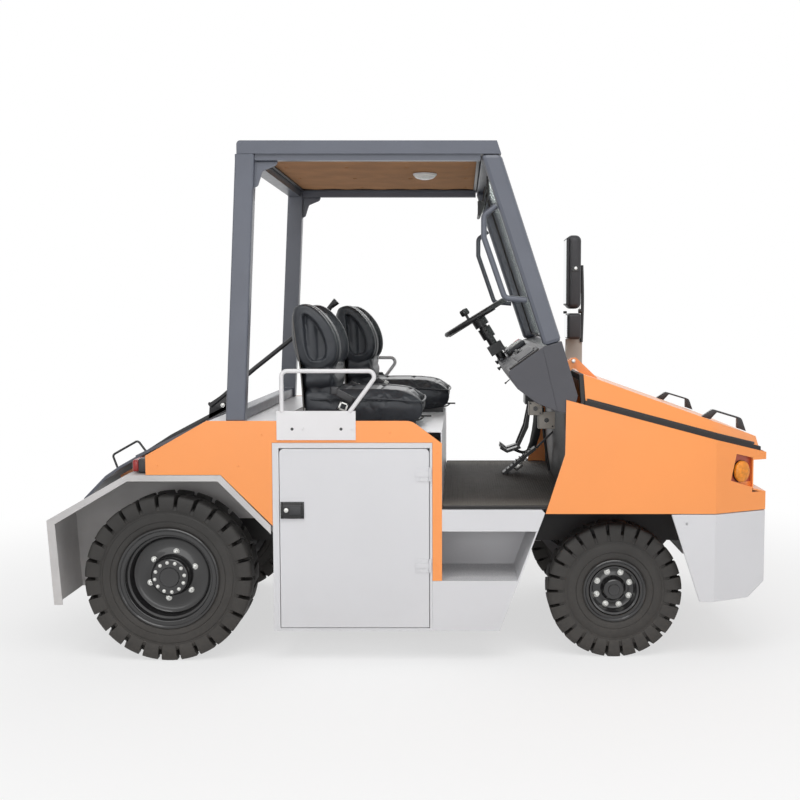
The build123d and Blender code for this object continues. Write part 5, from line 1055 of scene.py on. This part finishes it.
for y in (0.465, 0.335):
    for count in range(7):
        t = (count + 0.5) / 7
        x, z = 0.419 + 0.045 * t + 0.002, 0.801 + 0.006 - 0.034 * t
        eased_block(pads, (x - 0.002, y - 0.030, z - 0.002), (x + 0.003, y + 0.030, z + 0.0035), 0.001, 1,
                    Matrix.Rotation(math.radians(35), 4, "Y"))
for count in range(8):
    t = (count + 0.5) / 8
    x, z = 0.440 + 0.135 * t, 0.690 + 0.115 * t
    eased_block(pads, (x - 0.003, 0.208, z - 0.002), (x + 0.003, 0.272, z + 0.004), 0.001, 1,
                Matrix.Rotation(math.radians(-40), 4, "Y"))
made("pedal_pads", pads, rubber, "chassis")
gear = bmesh.new()
plate(gear, ((0.600, 1.010), (0.645, 1.010), (0.639, 0.925), (0.629, 0.848), (0.608, 0.784), (0.585, 0.752),
             (0.556, 0.760), (0.576, 0.816), (0.588, 0.880), (0.594, 0.925)), 0.396, 0.404, 0.002)
add_rod(gear, [(0.636, 0.300, 1.005), (0.640, 0.300, 0.900), (0.654, 0.300, 0.798), (0.672, 0.300, 0.680)], 0.007)
add_rod(gear, [(0.565, 0.400, 0.770), (0.548, 0.400, 0.757), (0.500, 0.400, 0.775), (0.484, 0.400, 0.784)], 0.008)
barrel(gear, (0.622, 0.388, 0.985), (0, 1, 0), 0.014, 0.026, segments=24, ease=0.002)
made("pedal_gear", gear, satin_black, "chassis")
linkage = bmesh.new()
add_rod(linkage, [(0.505, 0.285, 0.700), (0.545, 0.285, 0.745), (0.560, 0.285, 0.735)], 0.006, order=2)
eased_block(linkage, (0.490, 0.278, 0.690), (0.535, 0.292, 0.715), 0.003, 2,
            Matrix.Rotation(math.radians(-38), 4, "Y"))
barrel(linkage, (0.520, 0.276, 0.722), (0, 1, 0), 0.009, 0.018, segments=20, ease=0.002)
made("pedal_linkage", linkage, zinc, "chassis")
mat_ribs = bmesh.new()
low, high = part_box("floor_mat")
for count in range(46):
    x = low.x + 0.02 + count * (high.x - low.x - 0.04) / 45
    eased_block(mat_ribs, (x - 0.0022, low.y + 0.03, high.z - 0.001), (x + 0.0022, high.y - 0.03, high.z + 0.0014),
                0.0009, 1)
nosing = bmesh.new()
for side in (-1, 1):
    edge_in, edge_out = sorted((side * (high.y - 0.006), side * (high.y + 0.005)))
    eased_block(nosing, (low.x + 0.002, edge_in, high.z - 0.008), (high.x - 0.012, edge_out, high.z + 0.002),
                0.002, 2)
made("mat_nosing", nosing, rubber, "chassis")
made("mat_ribs", mat_ribs, floor_rubber, "chassis")

# ---- Nose: lamps and grille -------------------------------------------------------------------------
# Round-cornered headlamps and a black bar grille sit in a niche under the brow; an oval amber turn
# lamp sits in a pocket in each folded corner.
dress(black_plastic, "front_grille", ease=0.0008)
clear = glass.copy()
clear.name = "lamp_glass"
chrome = noise_paint("chrome", (0.85, 0.86, 0.87), 0.08, 0.02, 8, metal=1.0, spread=0.03)
low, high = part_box("head_lamps")
for name, side in SIDES.items():
    mid_y, mid_z = side * 0.500, (low.z + high.z) / 2
    bezel = bmesh.new()
    eased_block(bezel, (low.x, mid_y - 0.095, mid_z - 0.052), (high.x - 0.010, mid_y + 0.095, mid_z + 0.052), 0.006, 3)
    for y, z, half_y, half_z in ((0, 0.046, 0.094, 0.006), (0, -0.046, 0.094, 0.006), (0.088, 0, 0.006, 0.050),
                                 (-0.088, 0, 0.006, 0.050)):
        y, z = mid_y + y, mid_z + z
        eased_block(bezel, (high.x - 0.011, y - half_y, z - half_z), (high.x, y + half_y, z + half_z), 0.003, 2)
    shell = made(f"head_lamp_shell_{name}", bezel, black_plastic, "chassis")
    bowls = bmesh.new()
    for shift in (-0.044, 0.044):
        section = ((0.0, 0.006), (0.002, 0.018), (0.0045, 0.030), (0.008, 0.0385), (0.0085, 0.0385), (0.003, 0.020),
                   (0.001, 0.006))
        points = [bowls.verts.new((high.x - 0.0098 + x, mid_y + shift + r, mid_z)) for x, r in section]
        edges = [bowls.edges.new(pair) for pair in zip(points, points[1:] + points[:1])]
        bmesh.ops.spin(bowls, geom=points + edges, cent=(high.x, mid_y + shift, mid_z), axis=(1, 0, 0),
                       angle=2 * math.pi, steps=40, use_merge=True)
        barrel(bowls, (high.x - 0.0100, mid_y + shift, mid_z), (1, 0, 0), 0.0075, 0.0055, segments=24, ease=0.001)
    face_outwards(bowls)
    made(f"head_lamp_bowls_{name}", bowls, chrome, "chassis")
    pane = bmesh.new()
    eased_block(pane, (high.x - 0.0045, mid_y - 0.083, mid_z - 0.041),
                (high.x - 0.0015, mid_y + 0.083, mid_z + 0.041), 0.001, 2)
    made(f"head_lamp_glass_{name}", pane, clear, "chassis")
    if name == "right":
        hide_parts("head_lamps")
amber = noise_paint("lens_amber", (0.76, 0.245, 0.008), 0.30, 0.22, 60, 0.0)
lacquer(amber, 0.12)
tree = amber.node_tree
cells = wire(tree, "TexVoronoi", {"Vector": wire(tree, "TexCoord")["Object"], "Scale": 170})["Distance"]
tree.links.new(emboss(tree, cells, 0.6, 0.002), sockets_of(amber)["Normal"])
CORNER = math.atan(NOSE_TAPER)
for name, side in SIDES.items():
    out = Vector((math.sin(CORNER), side * math.cos(CORNER), 0))
    ahead = Vector((math.cos(CORNER), -side * math.sin(CORNER), 0))
    seat = Vector((1.409, side * (CAB_SIDE - fold_in(1.408) - 0.0197), 0.8125))
    put = Matrix.Translation(seat) @ Matrix((ahead, (0, 0, 1), out)).transposed().to_4x4()
    base = bmesh.new()
    ring = bmesh.ops.create_circle(base, cap_ends=True, segments=48, radius=1)["verts"]
    bmesh.ops.scale(base, vec=(0.0405, 0.0475, 1), verts=ring)
    grown = bmesh.ops.extrude_face_region(base, geom=list(base.faces))["geom"]
    moved = [item for item in grown if isinstance(item, bmesh.types.BMVert)]
    bmesh.ops.translate(base, vec=(0, 0, 0.008), verts=moved)
    bmesh.ops.transform(base, matrix=put, verts=base.verts)
    face_outwards(base)
    made(f"turn_lamp_base_{name}", base, gloss_black, "chassis")
    lens = bmesh.new()
    bowl(lens, ((1.0, 0.0078), (1.0, 0.0150), (0.975, 0.0185), (0.90, 0.0222), (0.72, 0.0256), (0.46, 0.0274),
                (0.2, 0.0279), (0.0, 0.028)), (0, 0, 0))
    bmesh.ops.scale(lens, vec=(0.0390, 0.0460, 1), verts=lens.verts)
    bmesh.ops.transform(lens, matrix=put, verts=lens.verts)
    face_outwards(lens)
    piece = made(f"turn_lamp_lens_{name}", lens, amber, "chassis", 50)
    if name == "right":
        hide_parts("turn_lamps")

corner_plates = bmesh.new()
for side in (-1, 1):
    points = [corner_plates.verts.new((x, side * y, z)) for x, y, z in
              ((1.4685, 0.6605, 0.7365), (1.5305, 0.6300, 0.7195), (1.5305, 0.6180, 0.7195), (1.4685, 0.6180, 0.7365))]
    lid = corner_plates.faces.new(points if side < 0 else points[::-1])
    grown = bmesh.ops.extrude_face_region(corner_plates, geom=[lid])["geom"]
    moved = [item for item in grown if isinstance(item, bmesh.types.BMVert)]
    bmesh.ops.translate(corner_plates, vec=(0, 0, -0.006), verts=moved)
face_outwards(corner_plates)
made("niche_corner_plates", corner_plates, orange_paint, "chassis")

# ---- Front bumper -----------------------------------------------------------------------------------
# A heavy folded plate in the light grey, bolted across the rails, with a pin pocket in its face.
dress(grey_paint, "front_bumper", ease=0.005)
side_bolts = bmesh.new()
for side in (-1, 1):
    for x, z in ((1.17, 0.60), (1.30, 0.60)):
        barrel(side_bolts, (x, side * (CAB_SIDE - fold_in(x) - 0.0012), z), (0, side, 0), 0.006, 0.0012, segments=20)
made("bumper_plugs", side_bolts, grey_paint, "chassis")

# ---- Hood with its seal and handles -----------------------------------------------------------------
# A lid of pressed sheet hinged at the cowl. It closes on a moulded rubber seal, and is lifted by two
# black strap handles.
seal_rubber = noise_paint("seal_rubber", (0.012, 0.010, 0.010), 0.62, 0.2, 12, 0.2, 600)
dress(seal_rubber, "hood_seal", ease=0.004)
bulb = bmesh.new()


def seal_at(x):
    """A point on the middle line of the seal's bulb, at a place along the nose."""
    return (x, 0.7335 - fold_in(x), 1.123 - 0.267 * (x - 0.658) + 0.0165)


side_line = [seal_at(x) for x in (0.745, 0.90, 1.05, 1.20, 1.27, 1.30, 1.36, 1.42, 1.455)]
for turn in (25, 50, 75):
    bend = math.radians(turn)
    x = 1.455 + 0.023 * math.sin(bend)
    side_line.append((x, 0.638 - 0.022 * (1 - math.cos(bend)) - 0.008 * turn / 75, seal_at(x)[2]))
front_z = seal_at(1.478)[2]
whole = [(x, -y, z) for x, y, z in side_line] + [(1.478, -0.59, front_z), (1.478, 0, front_z), (1.478, 0.59, front_z)]
whole += [(x, y, z) for x, y, z in reversed(side_line)]
add_rod(bulb, whole, 0.0128)
made("hood_seal_bulb", bulb, seal_rubber, "chassis", 60)
straps = bmesh.new()
strap = ((1.263, 1.037), (1.302, 1.025), (1.330, 1.0555), (1.418, 1.029), (1.4175, 1.020), (1.418, 0.987), (1.458, 0.973),
         (1.440, 1.024), (1.434, 1.031), (1.424, 1.0355), (1.322, 1.0665), (1.313, 1.068), (1.306, 1.066))
for side in (-1, 1):
    y0, y1 = sorted((side * 0.548, side * 0.572))
    plate(straps, strap, y0, y1, 0.002)
handles = made("hood_handle_straps", straps, black_plastic, "hood_lid")
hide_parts("hood_handles")
hinge_pins = bmesh.new()
for side in (-1, 1):
    for shift in (-0.0275, 0.0275):
        barrel(hinge_pins, (0.715, side * 0.440 + shift, 1.275), (0, 1 if shift > 0 else -1, 0), 0.0085, 0.006,
               segments=20, ease=0.001)
made("hinge_pins", hinge_pins, zinc, "chassis")

# ---- Side mirror ------------------------------------------------------------------------------------
# A dark plastic head with the glass facing back, clamped to a steel arm above a smaller near-side
# head, all on a grey stay bolted beside the cowl on the driver's side.
mirror_grey = noise_paint("mirror_grey", (0.026, 0.026, 0.030), 0.5, 0.1, 10, 0.25, 700)
stay_paint = noise_paint("stay_paint", (0.46, 0.44, 0.40), 0.4, 0.08, 8, 0.08, 700)
low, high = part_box("side_mirror")


def on_mirror(x, y, z):
    """A place on the mirror, from the low corner of its box."""
    return (low.x + x, low.y + y, low.z + z)


head = bmesh.new()
eased_block(head, on_mirror(0.004, 0.005, 0.502), on_mirror(0.082, 0.167, 0.894), 0.030, 6)
eased_block(head, on_mirror(0.001, 0.001, 0.52), on_mirror(0.015, 0.17, 0.88), 0.006, 3)
upper = made("mirror_head", head, mirror_grey, "chassis")
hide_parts("side_mirror")
lower_head = bmesh.new()
eased_block(lower_head, on_mirror(0.008, 0.005, 0.337), on_mirror(0.084, 0.169, 0.478), 0.018, 5)
made("mirror_lower_head", lower_head, mirror_grey, "chassis")
panes = bmesh.new()
eased_block(panes, on_mirror(0.0002, 0.009, 0.53), on_mirror(0.0022, 0.162, 0.87), 0.0008, 1)
eased_block(panes, on_mirror(0.0068, 0.015, 0.348), on_mirror(0.0088, 0.159, 0.468), 0.0008, 1)
made("mirror_panes", panes, mirror_glass, "chassis")
arm = bmesh.new()
add_rod(arm, [on_mirror(x, 0.159, z) for x, z in ((0.100, 0.32), (0.104, 0.44), (0.106, 0.59), (0.100, 0.74))], 0.009)
eased_block(arm, on_mirror(0.082, 0.153, 0.59), on_mirror(0.108, 0.1705, 0.73), 0.004, 3)
for z, radius, length in ((0.49, 0.012, 0.020), (0.41, 0.010, 0.022)):
    barrel(arm, on_mirror(0.082, 0.16, z), (1, 0, 0), radius, length, segments=20, ease=0.002)
barrel(arm, on_mirror(0.006, 0.115, 0.49), (0, 0, -1), 0.010, 0.014, segments=20, ease=0.002)
made("mirror_arm", arm, satin_black, "chassis")
clamp = bmesh.new()
eased_block(clamp, on_mirror(0.032, 0.0016, 0.702), on_mirror(0.066, 0.0045, 0.732), 0.001, 1)
made("mirror_clamp_plate", clamp, gloss_black, "chassis")
clamp_bolt = bmesh.new()
barrel(clamp_bolt, on_mirror(0.051, 0.0043, 0.717), (0, -1, 0), 0.0085, 0.004, segments=24, ease=0.0015)
eased_block(clamp_bolt, on_mirror(0.086, 0.161, 0.4), on_mirror(0.092, 0.168, 0.51), 0.001, 1)
made("mirror_clamp_bolt", clamp_bolt, zinc, "chassis")
stay = bmesh.new()
eased_block(stay, on_mirror(0.013, 0.1653, 0.002), on_mirror(0.106, 0.1713, 0.337), 0.002, 2)
for z in (0.03, 0.09):
    for x in (0.032, 0.086):
        barrel(stay, on_mirror(x, 0.1695, z), (0, 1, 0), 0.008, 0.0018, segments=6)
made("mirror_stay", stay, stay_paint, "chassis")

# ---- Floor, light and camera ------------------------------------------------------------------------
# A pale studio floor, a large soft lamp above, softer ones at the front and the sides.
bpy.context.scene.view_settings.view_transform = "Standard"
floor_shape = bmesh.new()
bmesh.ops.create_grid(floor_shape, x_segments=2, y_segments=2, size=30)
floor_mesh = bpy.data.meshes.new("studio_floor")
floor_shape.to_mesh(floor_mesh)
floor_shape.free()
floor = bpy.data.objects.new("studio_floor", floor_mesh)
bpy.context.scene.collection.objects.link(floor)
floor_look = bpy.data.materials.new("floor_look")
floor_look.use_nodes = True


def seen_share(tree, share):
    """A factor for camera, glossy and transmitted rays."""
    rays = wire(tree, "LightPath")
    seen = number(tree, "MAXIMUM", rays["Is Camera Ray"], rays["Is Glossy Ray"])
    seen = number(tree, "MAXIMUM", seen, rays["Is Transmission Ray"])
    return number(tree, "MULTIPLY", seen, share)


tree, look = floor_look.node_tree, sockets_of(floor_look)
look["Base Color"].default_value = (0.9, 0.9, 0.9, 1)
look["Roughness"].default_value = 0.7
look["Specular IOR Level"].default_value = 0.1
reach = wire(tree, "VectorMath", {0: wire(tree, "TexCoord")["Object"]}, operation="LENGTH")["Value"]
fade = wire(tree, "MapRange", {"Value": reach, "From Min": 1.6, "From Max": 4.2, "To Min": 0.62, "To Max": 1.0},
            interpolation_type="SMOOTHSTEP")["Result"]
both = {"Fac": seen_share(tree, fade), 1: tree.nodes["Principled BSDF"].outputs["BSDF"],
        2: wire(tree, "Emission")["Emission"]}
tree.links.new(wire(tree, "MixShader", both)["Shader"], tree.nodes["Material Output"].inputs["Surface"])
floor_mesh.materials.append(floor_look)

world = bpy.data.worlds.new("studio")
bpy.context.scene.world = world
world.use_nodes = True
tree = world.node_tree
tree.nodes.clear()
both = {"Fac": seen_share(tree, 1.0)}
for socket, strength in ((1, 0.42), (2, 1.0)):
    both[socket] = wire(tree, "Background", {"Color": (1, 1, 1, 1), "Strength": strength})["Background"]
wire(tree, "OutputWorld", {"Surface": wire(tree, "MixShader", both)["Shader"]})


def lamp(name, place, aim, size, power):
    """A soft rectangular studio lamp aimed at a point."""
    light = bpy.data.lights.new(name, "AREA")
    light.shape = "RECTANGLE"
    light.size, light.size_y = size
    light.energy = power
    holder = bpy.data.objects.new(name, light)
    holder.location = place
    holder.rotation_euler = (Vector(aim) - Vector(place)).to_track_quat("-Z", "Y").to_euler()
    bpy.context.scene.collection.objects.link(holder)


lamp("overhead", (0.2, -3.6, 5.0), (0.1, 0, 0.7), (5.0, 3.0), 140)
lamp("front_key", (-0.8, -7.8, 1.6), (0, 0, 0.9), (6.5, 2.6), 92)
lamp("front_right", (5.0, -4.4, 2.4), (0.4, 0, 0.8), (2.6, 2.6), 30)
lamp("far_side", (0.2, 6.0, 3.6), (0, 0, 0.8), (4.0, 2.0), 80)
view = bpy.data.cameras.new("view")
view.lens = 50.22
view.sensor_width = 36
view.shift_x = -0.075
camera = bpy.data.objects.new("view", view)
camera.location = (0.213, -5.404, 1.473)
camera.rotation_euler = (math.radians(90 - 4.304), 0, 0)
bpy.context.scene.collection.objects.link(camera)
bpy.context.scene.camera = camera
